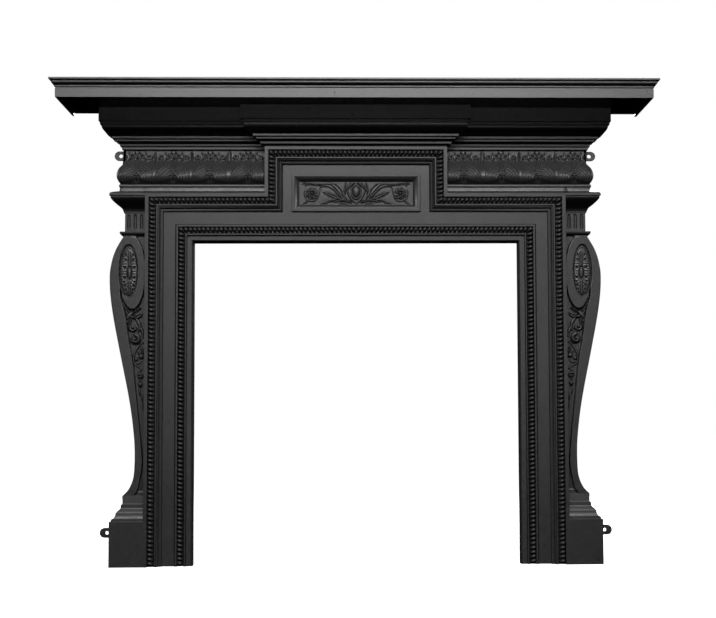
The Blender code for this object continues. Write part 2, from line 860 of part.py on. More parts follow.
def iron_material():
    iron = bpy.data.materials.new("cast_iron")
    iron.use_nodes = True
    shader = iron.node_tree.nodes["Principled BSDF"]
    shader.inputs["Base Color"].default_value = (0.055, 0.055, 0.056, 1.0)
    shader.inputs["Roughness"].default_value = 0.6
    shader.inputs["Metallic"].default_value = 0.3
    return iron


def gather(name, shapes):
    """Puts shapes into a collection of their own, for a Boolean to read."""
    group = bpy.data.collections.new(name)
    bpy.context.scene.collection.children.link(group)
    for shape in shapes:
        bpy.context.scene.collection.objects.unlink(shape)
        group.objects.link(shape)
        shape.hide_render = True
        shape.display_type = "WIRE"
    return group


def join_casting(iron):
    """Unites the bodies of the frame and takes the sinkings out of it."""
    first = casting_bodies[0]
    rest = gather("casting_bodies", casting_bodies[1:])
    cutters = gather("casting_cutters", casting_cutters)
    carving = gather("casting_carving", casting_carving)
    steps = (("unite", "UNION", rest), ("sink", "DIFFERENCE", cutters), ("carve", "UNION", carving))
    for name, operation, group in steps:
        step = first.modifiers.new(name, "BOOLEAN")
        step.operation = operation
        step.solver = "EXACT"
        step.operand_type = "COLLECTION"
        step.collection = group
    flat = first.modifiers.new("flat", "DECIMATE")
    flat.decimate_type = "DISSOLVE"
    flat.angle_limit = math.radians(0.8)
    first.name = "surround_frame"
    first.data.name = "surround_frame"
    first.data.materials.append(iron)
    return first


def main():
    for old in list(bpy.data.objects):
        bpy.data.objects.remove(old, do_unlink=True)
    iron = iron_material()
    build_architrave()
    build_panel()
    build_legs()
    build_cornice()
    for side in (-1, 1):
        build_console(side)
        build_patera(side)
        build_husks(side)
        build_flutes(side)
        build_frieze_leaves(side)
    build_relief()
    build_lugs()
    join_casting(iron)
    build_shelf(iron)


main()
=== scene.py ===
"""The looks of a cast-iron fireplace surround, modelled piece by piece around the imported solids."""

import math

import bmesh
import bpy
import numpy as np
from mathutils import Matrix, Vector


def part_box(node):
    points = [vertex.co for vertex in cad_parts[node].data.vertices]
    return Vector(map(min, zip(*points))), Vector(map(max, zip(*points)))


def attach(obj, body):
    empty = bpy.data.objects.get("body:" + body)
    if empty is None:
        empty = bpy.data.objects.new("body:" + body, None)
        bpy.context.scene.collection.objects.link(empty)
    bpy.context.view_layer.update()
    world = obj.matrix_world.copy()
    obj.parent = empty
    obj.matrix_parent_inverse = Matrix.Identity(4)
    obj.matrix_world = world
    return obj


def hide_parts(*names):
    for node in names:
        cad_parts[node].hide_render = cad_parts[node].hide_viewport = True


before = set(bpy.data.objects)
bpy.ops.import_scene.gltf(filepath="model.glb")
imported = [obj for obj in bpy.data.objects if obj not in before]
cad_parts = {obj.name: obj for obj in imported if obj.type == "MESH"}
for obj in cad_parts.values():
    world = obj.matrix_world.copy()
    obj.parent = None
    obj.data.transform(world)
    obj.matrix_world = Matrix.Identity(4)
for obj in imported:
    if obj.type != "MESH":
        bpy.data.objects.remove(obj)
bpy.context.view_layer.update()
shelf_low, shelf_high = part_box("mantel_shelf")

bl_info = {
    "name": "Cast-iron fireplace surround",
    "version": (1, 0, 0),
    "blender": (4, 5, 0),
    "location": "View3D > Sidebar > Surround",
    "description": "Models a cast-iron fireplace surround with its mantel shelf, piece by piece",
    "category": "Object",
}

MM = 0.001
ORIGIN = (0.0, 0.0, 0.0)
WALL_GAP = 0.0015
QUARTER_TURN = math.radians(90)


# Sizes and finishes that a user may change


class SurroundSizes(bpy.types.PropertyGroup):
    """Main sizes of the frame casting and the shelf."""

    opening_width: bpy.props.FloatProperty(
        name="Opening width", description="Clear width of the fire opening", default=0.914, unit="LENGTH"
    )
    opening_height: bpy.props.FloatProperty(
        name="Opening height", description="Clear height of the fire opening", default=0.904, unit="LENGTH"
    )
    band_width: bpy.props.FloatProperty(
        name="Band width", description="Width of the mouldings around the opening",
        default=0.1350,
        unit="LENGTH",
    )
    tablet_half: bpy.props.FloatProperty(
        name="Tablet half width", description="From the centre line to the tablet's side",
        default=0.2567, unit="LENGTH"
    )
    tablet_top: bpy.props.FloatProperty(
        name="Tablet top", description="Height of the tablet's upper edge", default=1.1730, unit="LENGTH"
    )
    jamb_tuck: bpy.props.FloatProperty(
        name="Jamb tuck",
        description="How much closer the outer mouldings lie on the jambs than on the header",
        default=0.0015, unit="LENGTH",
    )
    leg_shift: bpy.props.FloatProperty(
        name="Leg shift", description="Distance of a leg's side from its depth, on the centre line",
        default=0.6195,
        unit="LENGTH",
    )
    frieze_shift: bpy.props.FloatProperty(
        name="Frieze shift", description="Distance of the frieze's end from its depth",
        default=0.6256, unit="LENGTH"
    )
    shelf_top: bpy.props.FloatProperty(
        name="Shelf top", description="Height of the mantel shelf", default=shelf_high[2], unit="LENGTH"
    )
    shelf_depth: bpy.props.FloatProperty(
        name="Shelf depth", description="From the wall to the shelf's front edge",
        default=-shelf_low[1], unit="LENGTH"
    )
    edge_softness: bpy.props.FloatProperty(
        name="Edge softness", description="Rounding of the cast edges", default=0.0007, unit="LENGTH"
    )


class RopeSizes(bpy.types.PropertyGroup):
    """The two rope mouldings."""

    pitch: bpy.props.FloatProperty(
        name="Pitch", description="Distance from one strand to the next", default=0.0123, unit="LENGTH"
    )
    lean: bpy.props.FloatProperty(
        name="Lean", description="Angle of a strand across the moulding",
        default=math.radians(22), subtype="ANGLE"
    )
    outer_width: bpy.props.FloatProperty(
        name="Outer rope", description="Width of the rope at the band's edge", default=0.0208, unit="LENGTH"
    )
    inner_width: bpy.props.FloatProperty(
        name="Inner rope", description="Width of the rope beside the opening", default=0.0200, unit="LENGTH"
    )
    rise: bpy.props.FloatProperty(
        name="Rise", description="How far the strands stand out of their seat",
        default=0.0080, unit="LENGTH"
    )
    tilt: bpy.props.FloatProperty(
        name="Tilt", description="How much the inner end of a strand sinks back", default=math.radians(27),
        subtype="ANGLE",
    )


class IronFinish(bpy.types.PropertyGroup):
    """Blacked cast iron."""

    colour: bpy.props.FloatVectorProperty(
        name="Colour", description="Colour of the blacking on flat iron", default=(0.026, 0.026, 0.0263),
        subtype="COLOR", min=0.0, max=1.0,
    )
    # Laid two ways: as wear on the high spots of carved iron, and as painted light on faces that look up.
    worn_and_lit: bpy.props.FloatVectorProperty(
        name="Worn colour", description="Colour of the blacking where it is rubbed thin",
        default=(0.066, 0.066, 0.067),
        subtype="COLOR", min=0.0, max=1.0,
    )
    # Laid only as painted shade: in hollows, in the small creases of carved iron and on faces that look down.
    hollow: bpy.props.FloatVectorProperty(
        name="Hollow colour", description="Colour of the blacking in hollows",
        default=(0.003, 0.003, 0.003),
        subtype="COLOR", min=0.0, max=1.0,
    )
    roughness: bpy.props.FloatProperty(
        name="Roughness", description="Roughness of the blacked surface",
        default=0.33, subtype="FACTOR", min=0, max=1
    )
    grain: bpy.props.FloatProperty(
        name="Grain", description="Strength of the sand-cast grain",
        default=0.16, subtype="FACTOR", min=0, max=1
    )


class StudioSettings(bpy.types.PropertyGroup):
    """Floor, lights and camera."""

    key_power: bpy.props.FloatProperty(
        name="Key light", description="Power of the light above the front", default=170.0, subtype="POWER"
    )
    front_power: bpy.props.FloatProperty(
        name="Upper light", description="Power of the light high over the hearth",
        default=14.0, subtype="POWER"
    )
    back_power: bpy.props.FloatProperty(
        name="Back light", description="Power of the light behind the surround",
        default=150.0, subtype="POWER"
    )
    low_power: bpy.props.FloatProperty(
        name="Low front light", description="Power of the light in front of the jambs",
        default=20.0, subtype="POWER"
    )
    fill_power: bpy.props.FloatProperty(
        name="Side light", description="Power of each light beside the camera", default=6.0, subtype="POWER"
    )
    sky_strength: bpy.props.FloatProperty(
        name="Surroundings", description="Brightness of the white surroundings", default=1.0, min=0.0
    )
    sky_light: bpy.props.FloatProperty(
        name="Sky light", description="How much the surroundings light the iron", default=0.10, min=0.0
    )
    floor_colour: bpy.props.FloatVectorProperty(
        name="Floor colour", description="Colour of the pale floor",
        default=(0.985, 0.985, 0.99), subtype="COLOR"
    )


def sizes():
    return bpy.context.scene.surround_sizes


def at(x, depth, z):
    """A point at a distance in front of the wall."""
    return Vector((x, -depth, z))


# Working with pieces


def named(name):
    """Names the active object and its mesh, and returns the object."""
    piece = bpy.context.object
    piece.name = name
    piece.data.name = name
    return piece


def object_mode():
    bpy.ops.object.mode_set(mode="OBJECT")


def select_all():
    bpy.ops.mesh.select_all(action="SELECT")


def choose_rims():
    """Selects the open edges of the piece in edit mode."""
    bpy.ops.mesh.select_mode(type="EDGE")
    bpy.ops.mesh.select_all(action="DESELECT")
    bpy.ops.mesh.select_non_manifold(extend=False)


def extrude(x, y, z):
    """Draws out what is selected."""
    bpy.ops.mesh.extrude_region_move(TRANSFORM_OT_translate={"value": (x, y, z)})


def resize(value, centre=ORIGIN):
    """Scales what is selected from a point."""
    bpy.ops.transform.resize(value=value, center_override=centre)


def turn_by(angle, axis):
    """Turns what is selected about the origin."""
    bpy.ops.transform.rotate(value=angle, orient_axis=axis, orient_type="GLOBAL", center_override=ORIGIN)


def close_block():
    """Fills the open ends of a block and points its faces outward."""
    choose_rims()
    bpy.ops.mesh.fill_holes(sides=0)
    turn_outward()


def let_go():
    """Leaves edit mode and lets go of every object."""
    if bpy.context.object is not None and bpy.context.object.mode != "OBJECT":
        object_mode()
    bpy.ops.object.select_all(action="DESELECT")


def take(piece):
    """Makes a piece the only selected and the active object."""
    let_go()
    piece.select_set(True)
    bpy.context.view_layer.objects.active = piece


def edit():
    bpy.ops.object.mode_set(mode="EDIT")
    bpy.ops.mesh.select_mode(type="VERT")


def choose(test, among=None):
    """Selects the points of the piece in edit mode that pass a test, and returns their numbers."""
    mesh = bpy.context.object.data
    work = bmesh.from_edit_mesh(mesh)
    work.verts.ensure_lookup_table()
    for part in (*work.faces, *work.edges, *work.verts):
        part.select = False
    numbers = []
    for point in work.verts if among is None else [work.verts[i] for i in among]:
        if test(point.co):
            point.select = True
            numbers.append(point.index)
    work.select_mode = {"VERT"}
    work.select_flush_mode()
    bmesh.update_edit_mesh(mesh)
    return numbers


def choose_faces(test):
    """Selects the faces whose centre and normal pass a test, and returns how many."""
    bpy.ops.mesh.select_mode(type="FACE")
    mesh = bpy.context.object.data
    work = bmesh.from_edit_mesh(mesh)
    count = 0
    for face in work.faces:
        picked = test(face.calc_center_median(), face.normal)
        face.select_set(picked)
        count += picked
    work.select_flush_mode()
    bmesh.update_edit_mesh(mesh)
    return count


def chosen():
    """Numbers of the selected points."""
    work = bmesh.from_edit_mesh(bpy.context.object.data)
    return [point.index for point in work.verts if point.select]


def start_plane(name, low, high, z):
    """A level rectangle between two corners, in edit mode."""
    let_go()
    bpy.ops.mesh.primitive_plane_add(size=1.0, location=ORIGIN)
    piece = named(name)
    edit()
    select_all()
    bpy.ops.transform.resize(value=(abs(high[0] - low[0]), abs(high[1] - low[1]), 1.0))
    middle = ((low[0] + high[0]) / 2, (low[1] + high[1]) / 2, z)
    bpy.ops.transform.translate(value=middle)
    return piece


def start_line(name, points):
    """A line through points, drawn by extruding one corner of a plane, in edit mode."""
    let_go()
    bpy.ops.mesh.primitive_plane_add(size=0.01, location=ORIGIN)
    piece = named(name)
    edit()
    select_all()
    bpy.ops.mesh.merge(type="CENTER")
    bpy.ops.transform.translate(value=points[0])
    for a, b in zip(points, points[1:]):
        bpy.ops.mesh.extrude_vertices_move(TRANSFORM_OT_translate={"value": b - a})
    select_all()
    return piece


def modify(kind, **settings):
    """Adds a modifier to the active object and applies it."""
    if bpy.context.object.mode != "OBJECT":
        object_mode()
    bpy.ops.object.modifier_add(type=kind)
    step = bpy.context.object.modifiers[-1]
    for key, value in settings.items():
        setattr(step, key, value)
    bpy.ops.object.modifier_apply(modifier=step.name)


def soften(width=None, segments=2, angle=32.0):
    """Rounds the sharp edges a little, as a sand mould leaves them."""
    modify(
        "BEVEL",
        width=width or sizes().edge_softness,
        segments=segments,
        limit_method="ANGLE",
        angle_limit=math.radians(angle),
        use_clamp_overlap=True,
    )


def cut_with(piece, tool):
    """Takes a shape out of a piece and throws the shape away."""
    take(piece)
    modify("BOOLEAN", operation="DIFFERENCE", solver="EXACT", object=tool)
    bpy.data.objects.remove(tool, do_unlink=True)


def join(pieces, name):
    """Makes one object of several."""
    let_go()
    for piece in pieces:
        piece.select_set(True)
    bpy.context.view_layer.objects.active = pieces[0]
    bpy.ops.object.join()
    return named(name)


def turn_outward():
    """Points the faces of the active object outward."""
    if bpy.context.object.mode != "EDIT":
        edit()
    select_all()
    bpy.ops.mesh.remove_doubles(threshold=0.00002)
    bpy.ops.mesh.normals_make_consistent(inside=False)
    face_out()


def face_out():
    """Flips the faces of the active object, in edit mode, if they look inward as a whole."""
    work = bmesh.from_edit_mesh(bpy.context.object.data)
    if work.calc_volume(signed=True) < 0.0:
        select_all()
        bpy.ops.mesh.flip_normals()
    object_mode()


def hand_over(
    piece, node="surround_frame", smooth=30.0, carved=False, reach=0.007, painted_sheen=1.0
):
    """Shades a finished piece, gives it its iron and places it on the casting."""
    take(piece)
    bpy.ops.object.shade_smooth_by_angle(angle=math.radians(smooth))
    if not carved:
        modify("WEIGHTED_NORMAL", keep_sharp=True, weight=90)
    piece.data.materials.clear()
    piece.data.materials.append(iron(carved, reach, painted_sheen))
    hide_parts(node)
    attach(piece, "root")
    let_go()
    return piece


def stack(name, levels, side, back=WALL_GAP):
    """A block drawn up from levels of height, depth, outer and inner side; its back stays upright."""
    z, depth, outer, inner = levels[0]
    piece = start_plane(name, (side * inner, -back), (side * outer, -depth), z)
    for (z0, d0, o0, n0), (z1, d1, o1, n1) in zip(levels, levels[1:]):
        extrude(0.0, 0.0, z1 - z0)
        resize(((o1 - n0) / (o0 - n0), (d1 - back) / (d0 - back), 1.0), (side * n0, -back, z1))
    close_block()
    return piece


def hollow_back(wall, depth, back=WALL_GAP):
    """Sinks a shallow recess in the back of the active block; the real casting is a thinner shell."""
    edit()
    count = choose_faces(lambda centre, normal: abs(centre.y + back) < 0.0002 and normal.y > 0.9)
    if count == 0:
        raise RuntimeError(f"{bpy.context.object.name} has no back to open")
    bpy.ops.mesh.inset(thickness=wall, use_even_offset=True, use_boundary=True)
    extrude(0.0, -depth, 0.0)
    bpy.ops.mesh.select_mode(type="VERT")
    object_mode()


def mirrored(piece, name):
    """A copy of a piece on the other side of the centre line."""
    take(piece)
    bpy.ops.object.duplicate(linked=False)
    copy = named(name)
    edit()
    select_all()
    resize((-1.0, 1.0, 1.0))
    face_out()
    return copy


# Blacked iron


def fill_in(node, values):
    """Sets a node's own inputs by name."""
    for name, value in values.items():
        node.inputs[name].default_value = value


def iron(carved=False, reach=0.007, painted_sheen=1.0):
    """Blacked cast iron with painted light and shade: darker in hollows and on faces that look down, lighter
    on those that look up.

    This follows the surround's own upright, so it holds only while the piece stands. Carved iron is also
    rubbed on its high spots and given painted shade in its small hollows, apart from its back.
    """
    title = f"blacked_iron_{'carved' if carved else 'plain'}_{round(reach / MM)}_{round(painted_sheen * 10)}"
    made = bpy.data.materials.get(title)
    if made is not None:
        return made
    finish = bpy.context.scene.surround_finish
    made = bpy.data.materials.new(title)
    made.use_nodes = True
    nodes = made.node_tree.nodes
    links = made.node_tree.links
    shader = nodes["Principled BSDF"]
    place = nodes.new("ShaderNodeTexCoord")

    def noise_of(scale, detail, roughness):
        node = nodes.new("ShaderNodeTexNoise")
        fill_in(node, {"Scale": scale, "Detail": detail, "Roughness": roughness})
        links.new(place.outputs["Object"], node.inputs["Vector"])
        return node.outputs["Fac"]

    def spread(source, low, high, new_low, new_high):
        node = nodes.new("ShaderNodeMapRange")
        fill_in(node, {"From Min": low, "From Max": high, "To Min": new_low, "To Max": new_high})
        links.new(source, node.inputs["Value"])
        return node.outputs["Result"]

    def bump(height, strength, distance):
        node = nodes.new("ShaderNodeBump")
        fill_in(node, {"Strength": strength, "Distance": distance})
        links.new(height, node.inputs["Height"])
        return node

    def blend(share, a, b):
        node = nodes.new("ShaderNodeMix")
        node.data_type = "RGBA"
        links.new(share, node.inputs[0])
        for socket, value in ((node.inputs[6], a), (node.inputs[7], b)):
            if isinstance(value, tuple):
                socket.default_value = value
            else:
                links.new(value, socket)
        return node.outputs[2]

    clouds = noise_of(7.0, 4.0, 0.6)
    mottle = noise_of(95.0, 5.0, 0.65)
    sand = noise_of(1100.0, 3.0, 0.6)
    pits = noise_of(420.0, 2.0, 0.5)

    lean = nodes.new("ShaderNodeSeparateXYZ")
    links.new(place.outputs["Normal"], lean.inputs["Vector"])
    # Painted shade: faces that look down are darkened towards the hollow colour.
    starts, ends = (-0.20, -0.85) if carved else (-0.08, -0.62)
    painted_underside_shade = spread(lean.outputs["Z"], starts, ends, 0.0, 0.93)
    # Painted light: faces that look up are lightened towards the worn colour.
    painted_top_light = spread(lean.outputs["Z"], 0.10, 0.80, 0.0, 0.45)

    base = (*finish.colour, 1.0)
    # This colour is laid both as wear on high spots and as painted light on faces that look up.
    worn_and_lit = (*finish.worn_and_lit, 1.0)
    # This colour is laid only as painted shade.
    hollow = (*finish.hollow, 1.0)
    thin = tuple(c * 1.22 for c in finish.colour) + (1.0,)
    thick = tuple(c * 0.80 for c in finish.colour) + (1.0,)
    tone = blend(spread(clouds, 0.35, 0.68, 0.0, 1.0), thick, base)
    tone = blend(spread(mottle, 0.52, 0.72, 0.0, 0.8), tone, thin)
    if carved:
        plain = tone
        shape = nodes.new("ShaderNodeNewGeometry")
        tone = blend(spread(shape.outputs["Pointiness"], 0.506, 0.560, 0.0, 0.75), tone, worn_and_lit)
        # Painted shade: the small hollows of carved iron are darkened.
        tone = blend(spread(shape.outputs["Pointiness"], 0.485, 0.440, 0.0, 0.8), tone, hollow)
        tone = blend(spread(lean.outputs["Y"], 0.30, 0.60, 0.0, 1.0), tone, plain)
    # Painted light on faces that look up, then painted shade on faces that look down.
    tone = blend(painted_top_light, tone, worn_and_lit)
    tone = blend(painted_underside_shade, tone, hollow)
    # Painted shade: darker where ambient occlusion finds near surfaces, in hollows, creases and between parts.
    painted_hollow_shade = nodes.new("ShaderNodeAmbientOcclusion")
    painted_hollow_shade.samples = 6
    painted_hollow_shade.inputs["Distance"].default_value = reach
    tone = blend(spread(painted_hollow_shade.outputs["AO"], 0.12, 0.55, 1.0, 0.0), tone, hollow)
    links.new(tone, shader.inputs["Base Color"])
    fill_in(shader, {"Metallic": 0.0, "IOR": 1.45})
    # The shine also follows which way a face looks: weaker on faces that look down and on those that look up,
    # as part of the painted shade.
    shine = nodes.new("ShaderNodeMath")
    shine.operation = "MINIMUM"
    links.new(spread(lean.outputs["Z"], -0.08, -0.60, 0.45 * painted_sheen, 0.10), shine.inputs[0])
    links.new(spread(lean.outputs["Z"], 0.35, 0.80, 0.45 * painted_sheen, 0.12), shine.inputs[1])
    links.new(shine.outputs["Value"], shader.inputs["Specular IOR Level"])
    rough = spread(mottle, 0.3, 0.7, finish.roughness - 0.07, finish.roughness + 0.09)
    links.new(rough, shader.inputs["Roughness"])

    grain = bump(sand, finish.grain, 0.0003)
    dents = bump(pits, finish.grain * 1.2, 0.0007)
    links.new(grain.outputs["Normal"], dents.inputs["Normal"])
    links.new(dents.outputs["Normal"], shader.inputs["Normal"])
    return made


# The moulded band around the opening


def plain_line(offset):
    """Corners of the opening's own line, moved outward."""
    x = sizes().opening_width / 2 + offset
    z = sizes().opening_height + offset
    return [(-x, 0.0), (-x, z), (x, z), (x, 0.0)]


def stepped_line(offset):
    """Corners of the line that steps up around the tablet, moved outward."""
    x = sizes().opening_width / 2 + offset - sizes().jamb_tuck
    z = sizes().opening_height + offset
    ear_x = sizes().tablet_half - (sizes().band_width - offset)
    ear_z = sizes().tablet_top - (sizes().band_width - offset)
    left = [(-x, 0.0), (-x, z), (-ear_x, z), (-ear_x, ear_z)]
    return left + [(-px, pz) for px, pz in reversed(left)]


def sweep(name, line, profile):
    """Draws a moulding's first line and extrudes it through its profile of (offset, depth)."""
    offset, depth = profile[0]
    piece = start_line(name, [at(x, depth, z) for x, z in line(offset)])
    for (o0, d0), (o1, d1) in zip(profile, profile[1:]):
        extrude(0.0, d0 - d1, 0.0)
        row = chosen()
        out = o1 - o0
        if abs(out) < 1e-7:
            continue
        moves = (
            (lambda p: p.x < 0.0, (-out, 0.0, 0.0)),
            (lambda p: p.x > 0.0, (out, 0.0, 0.0)),
            (lambda p: p.z > 0.0001, (0.0, 0.0, out)),
        )
        for test, change in moves:
            choose(test, row)
            bpy.ops.transform.translate(value=change)
        choose(lambda p: True, row)
    object_mode()
    return piece


def arc(o0, d0, o1, d1, swell, steps=6):
    """Points of a curved step in a profile: swell above zero for a round, below for a hollow."""
    points = []
    for i in range(1, steps):
        t = i / steps
        lift = 4.0 * swell * t * (1.0 - t)
        points.append((o0 + (o1 - o0) * t, d0 + (d1 - d0) * t + lift))
    return points


def inner_profile():
    """From the hollow back of the inner moulding round the opening's edge to the field."""
    profile = [(0.0500, 0.0270), (0.0445, 0.0260), (0.0225, 0.0260), (0.0170, 0.0260), (0.0070, 0.0260)]
    profile += [(0.0070, 0.0), (0.0, 0.0), (0.0, 0.0300), (0.0020, 0.0342), (0.0044, 0.0364), (0.0064, 0.0370)]
    profile += [(0.0176, 0.0370), (0.0181, 0.0400), (0.0192, 0.0455), (0.0197, 0.0460)]
    profile += [(0.0222, 0.0460), (0.0268, 0.0350), (0.0330, 0.0330), (0.0424, 0.0375), (0.0430, 0.0460)]
    profile += [(0.0475, 0.0460)]
    profile += arc(0.0475, 0.0460, 0.0516, 0.0380, -0.0012, 4)
    return profile + [(0.0516, 0.0380)]


def outer_profile():
    """From the field over the fillets and the seat of the rope to the band's edge and behind it."""
    profile = [(0.0836, 0.0380), (0.0852, 0.0384), (0.0860, 0.0392), (0.0866, 0.0452), (0.0912, 0.0468)]
    profile += [(0.0920, 0.0462), (0.0938, 0.0470), (0.0950, 0.0484), (0.0956, 0.0540), (0.0994, 0.0554)]
    profile += [(0.1002, 0.0595), (0.1008, 0.0600), (0.1038, 0.0600)]
    profile += [(0.1082, 0.0485), (0.1150, 0.0490), (0.1243, 0.0525), (0.1249, 0.0650), (0.1350, 0.0650)]
    profile += [(0.1350, 0.0)]
    profile += [(0.1280, 0.0), (0.1280, 0.0410), (0.0990, 0.0410), (0.0880, 0.0340), (0.0836, 0.0270)]
    return profile


def close_between(first, second):
    """Lays one flat face between a plain and a stepped line of the band, given as (offset, depth)."""
    corners = [at(x, first[1], z) for x, z in plain_line(first[0])]
    corners += [at(x, second[1], z) for x, z in stepped_line(second[0])]

    def on_lines(p):
        return any((p - corner).length < 0.00005 for corner in corners)

    for side in (-1, 1):
        choose(lambda p: on_lines(p) and p.z < 0.0001 and p.x * side > 0)
        bpy.ops.mesh.edge_face_add()
    choose(on_lines)
    bpy.ops.mesh.edge_face_add()


class SURROUND_OT_band(bpy.types.Operator):
    """Model the moulded band around the opening, as a casting open at the back"""

    bl_idname = "surround.band"
    bl_label = "Moulded band"

    def execute(self, context):
        inner = inner_profile()
        outer = outer_profile()
        pieces = [sweep("inner_mouldings", plain_line, inner), sweep("outer_mouldings", stepped_line, outer)]
        band = join(pieces, "moulded_band")
        edit()
        close_between(inner[-1], outer[0])
        close_between(inner[0], outer[-1])
        for side in (-1, 1):
            choose(lambda p: p.z < 0.0001 and p.x * side > 0)
            bpy.ops.mesh.edge_face_add()
        turn_outward()
        middle = (PANEL_LOW + PANEL_HIGH) / 2
        bpy.ops.mesh.primitive_cube_add(size=1.0, location=(0.0, -0.0345, middle))
        tool = bpy.context.object
        tool.scale = (2 * (PANEL_HALF - PANEL_LAP), 0.020, PANEL_HIGH - PANEL_LOW - 2 * PANEL_LAP)
        cut_with(band, tool)
        take(band)
        soften()
        hand_over(band)
        return {"FINISHED"}


# Ropes


def strand(name, length, thickness, rise, lean, tilt):
    """One strand of a rope at the origin: a bead drawn out across the moulding, fuller at its outer end."""
    let_go()
    bpy.ops.mesh.primitive_uv_sphere_add(segments=12, ring_count=7, radius=0.5, location=ORIGIN)
    piece = named(name)
    edit()
    select_all()
    turn_by(QUARTER_TURN, "Y")
    resize((length, 2.0 * rise, thickness))
    bpy.ops.mesh.select_all(action="DESELECT")
    choose(lambda p: abs(p.x) < length * 0.42)
    resize((1.12, 1.0, 1.06))
    choose(lambda p: p.x < -length * 0.05)
    resize((1.0, 1.16, 1.12))
    choose(lambda p: p.x > length * 0.08)
    resize((1.0, 0.88, 0.80))
    choose(lambda p: p.x > length * 0.25)
    resize((1.0, 0.85, 0.75))
    select_all()
    for axis, turn in (("Z", -tilt), ("Y", -lean)):
        turn_by(turn, axis)
    object_mode()
    return piece


def lay_strands(name, first, step, count, shape):
    """A straight row of strands."""
    piece = strand(name, *shape)
    edit()
    select_all()
    bpy.ops.transform.translate(value=first)
    object_mode()
    modify(
        "ARRAY", count=count, use_relative_offset=False,
        use_constant_offset=True, constant_offset_displace=step
    )
    return piece


def lay_rope(name, corners, width, seat):
    """The left half of a rope along its line, strands leaning towards the centre line from the top down."""
    rope = bpy.context.scene.surround_rope
    lean = rope.lean
    rows = []
    legs = list(zip(corners, corners[1:]))
    for number, ((x0, z0), (x1, z1)) in enumerate(legs):
        start = at(x0, seat, z0)
        run = at(x1, seat, z1) - start
        from_corner = number > 0
        to_corner = number < len(legs) - 1
        ends = (1.0 if from_corner else 0.5) + (1.0 if to_corner else 0.5)
        count = max(1, round(run.length / rope.pitch - ends + 1.0))
        pitch = run.length / (count - 1 + ends)
        way = run.normalized()
        first = start + way * pitch * (1.0 if from_corner else 0.5)
        upright = abs(run.z) > abs(run.x)
        turn = lean if upright else QUARTER_TURN - lean
        thick = pitch * math.cos(lean) * 0.97
        long = width / math.cos(lean) * 1.02
        shape = (long, thick, rope.rise, turn, rope.tilt)
        rows.append(lay_strands(f"{name}_row", first, way * pitch, count, shape))
        if to_corner:
            shape = (long * 1.16, thick, rope.rise, QUARTER_TURN / 2, rope.tilt)
            rows.append(lay_strands(f"{name}_corner", at(x1, seat, z1), Vector((0, 0, 0)), 1, shape))
    return join(rows, name)


ROPE_FOOT = 0.0016
OUTER_ROPE = (0.1146, 0.0512)
INNER_ROPE = (0.0330, 0.0358)


class SURROUND_OT_ropes(bpy.types.Operator):
    """Lay the two ropes strand by strand along the band, leaning the other way on the right half"""

    bl_idname = "surround.ropes"
    bl_label = "Ropes"

    def execute(self, context):
        rope = context.scene.surround_rope
        for name, line, (middle, seat), width in (
            ("outer_rope", stepped_line, OUTER_ROPE, rope.outer_width),
            ("inner_rope", plain_line, INNER_ROPE, rope.inner_width),
        ):
            corners = line(middle)
            corners = corners[: len(corners) // 2]
            corners[0] = (corners[0][0], ROPE_FOOT)
            corners.append((0.0, corners[-1][1]))
            left = lay_rope(name, corners, width, seat)
            right = mirrored(left, name + "_right")
            both = join([left, right], name)
            take(both)
            turn_outward()
            hand_over(both, smooth=60.0)
        return {"FINISHED"}


# Legs


LEG_INNER = 0.5885
PLINTH_TOP = 0.1246
FOOT_TOP = 0.1955
FOOT_DEPTH = 0.0450
CONSOLE_TOP = 0.9210
CONSOLE_BACK = 0.0030


LEDGE_LEVELS = [
    (1.0394, 0.0648), (1.0406, 0.0638), (1.0424, 0.0608), (1.0444, 0.0560), (1.0460, 0.0500),
    (1.0474, 0.0440),
    (1.0482, 0.0404), (1.0540, 0.0398), (1.0548, 0.0392), (1.0580, 0.0390), (1.0585, 0.0300),
]


def plinth_levels():
    """Block on the hearth, then a fillet, a hollow, a step and the foot that runs into the console."""
    shift = sizes().leg_shift + 0.0012
    deep = 0.0640
    profile = [(0.0, 0.0), (PLINTH_TOP, 0.0), (0.1254, 0.0008), (0.1262, 0.0052), (0.1322, 0.0056)]
    profile += [(0.1328, 0.0100), (0.1345, 0.0116), (0.1380, 0.0140), (0.1420, 0.0160), (0.1452, 0.0168)]
    profile += [(0.1482, 0.0170), (0.1496, 0.0180), (0.1526, 0.0204), (0.1560, 0.0240), (0.1588, 0.0272)]
    profile += [(0.1612, 0.0294), (0.1628, 0.0300), (0.1700, 0.0303), (0.1706, 0.0300), (0.1716, 0.0318)]
    profile += [(0.1736, 0.0340), (0.1748, 0.0346)]
    levels = [(z, deep - 0.5 * back, shift + deep - back, LEG_INNER) for z, back in profile]
    levels.append((FOOT_TOP + 0.0004, FOOT_DEPTH, shift + deep - 0.0346, LEG_INNER))
    return levels


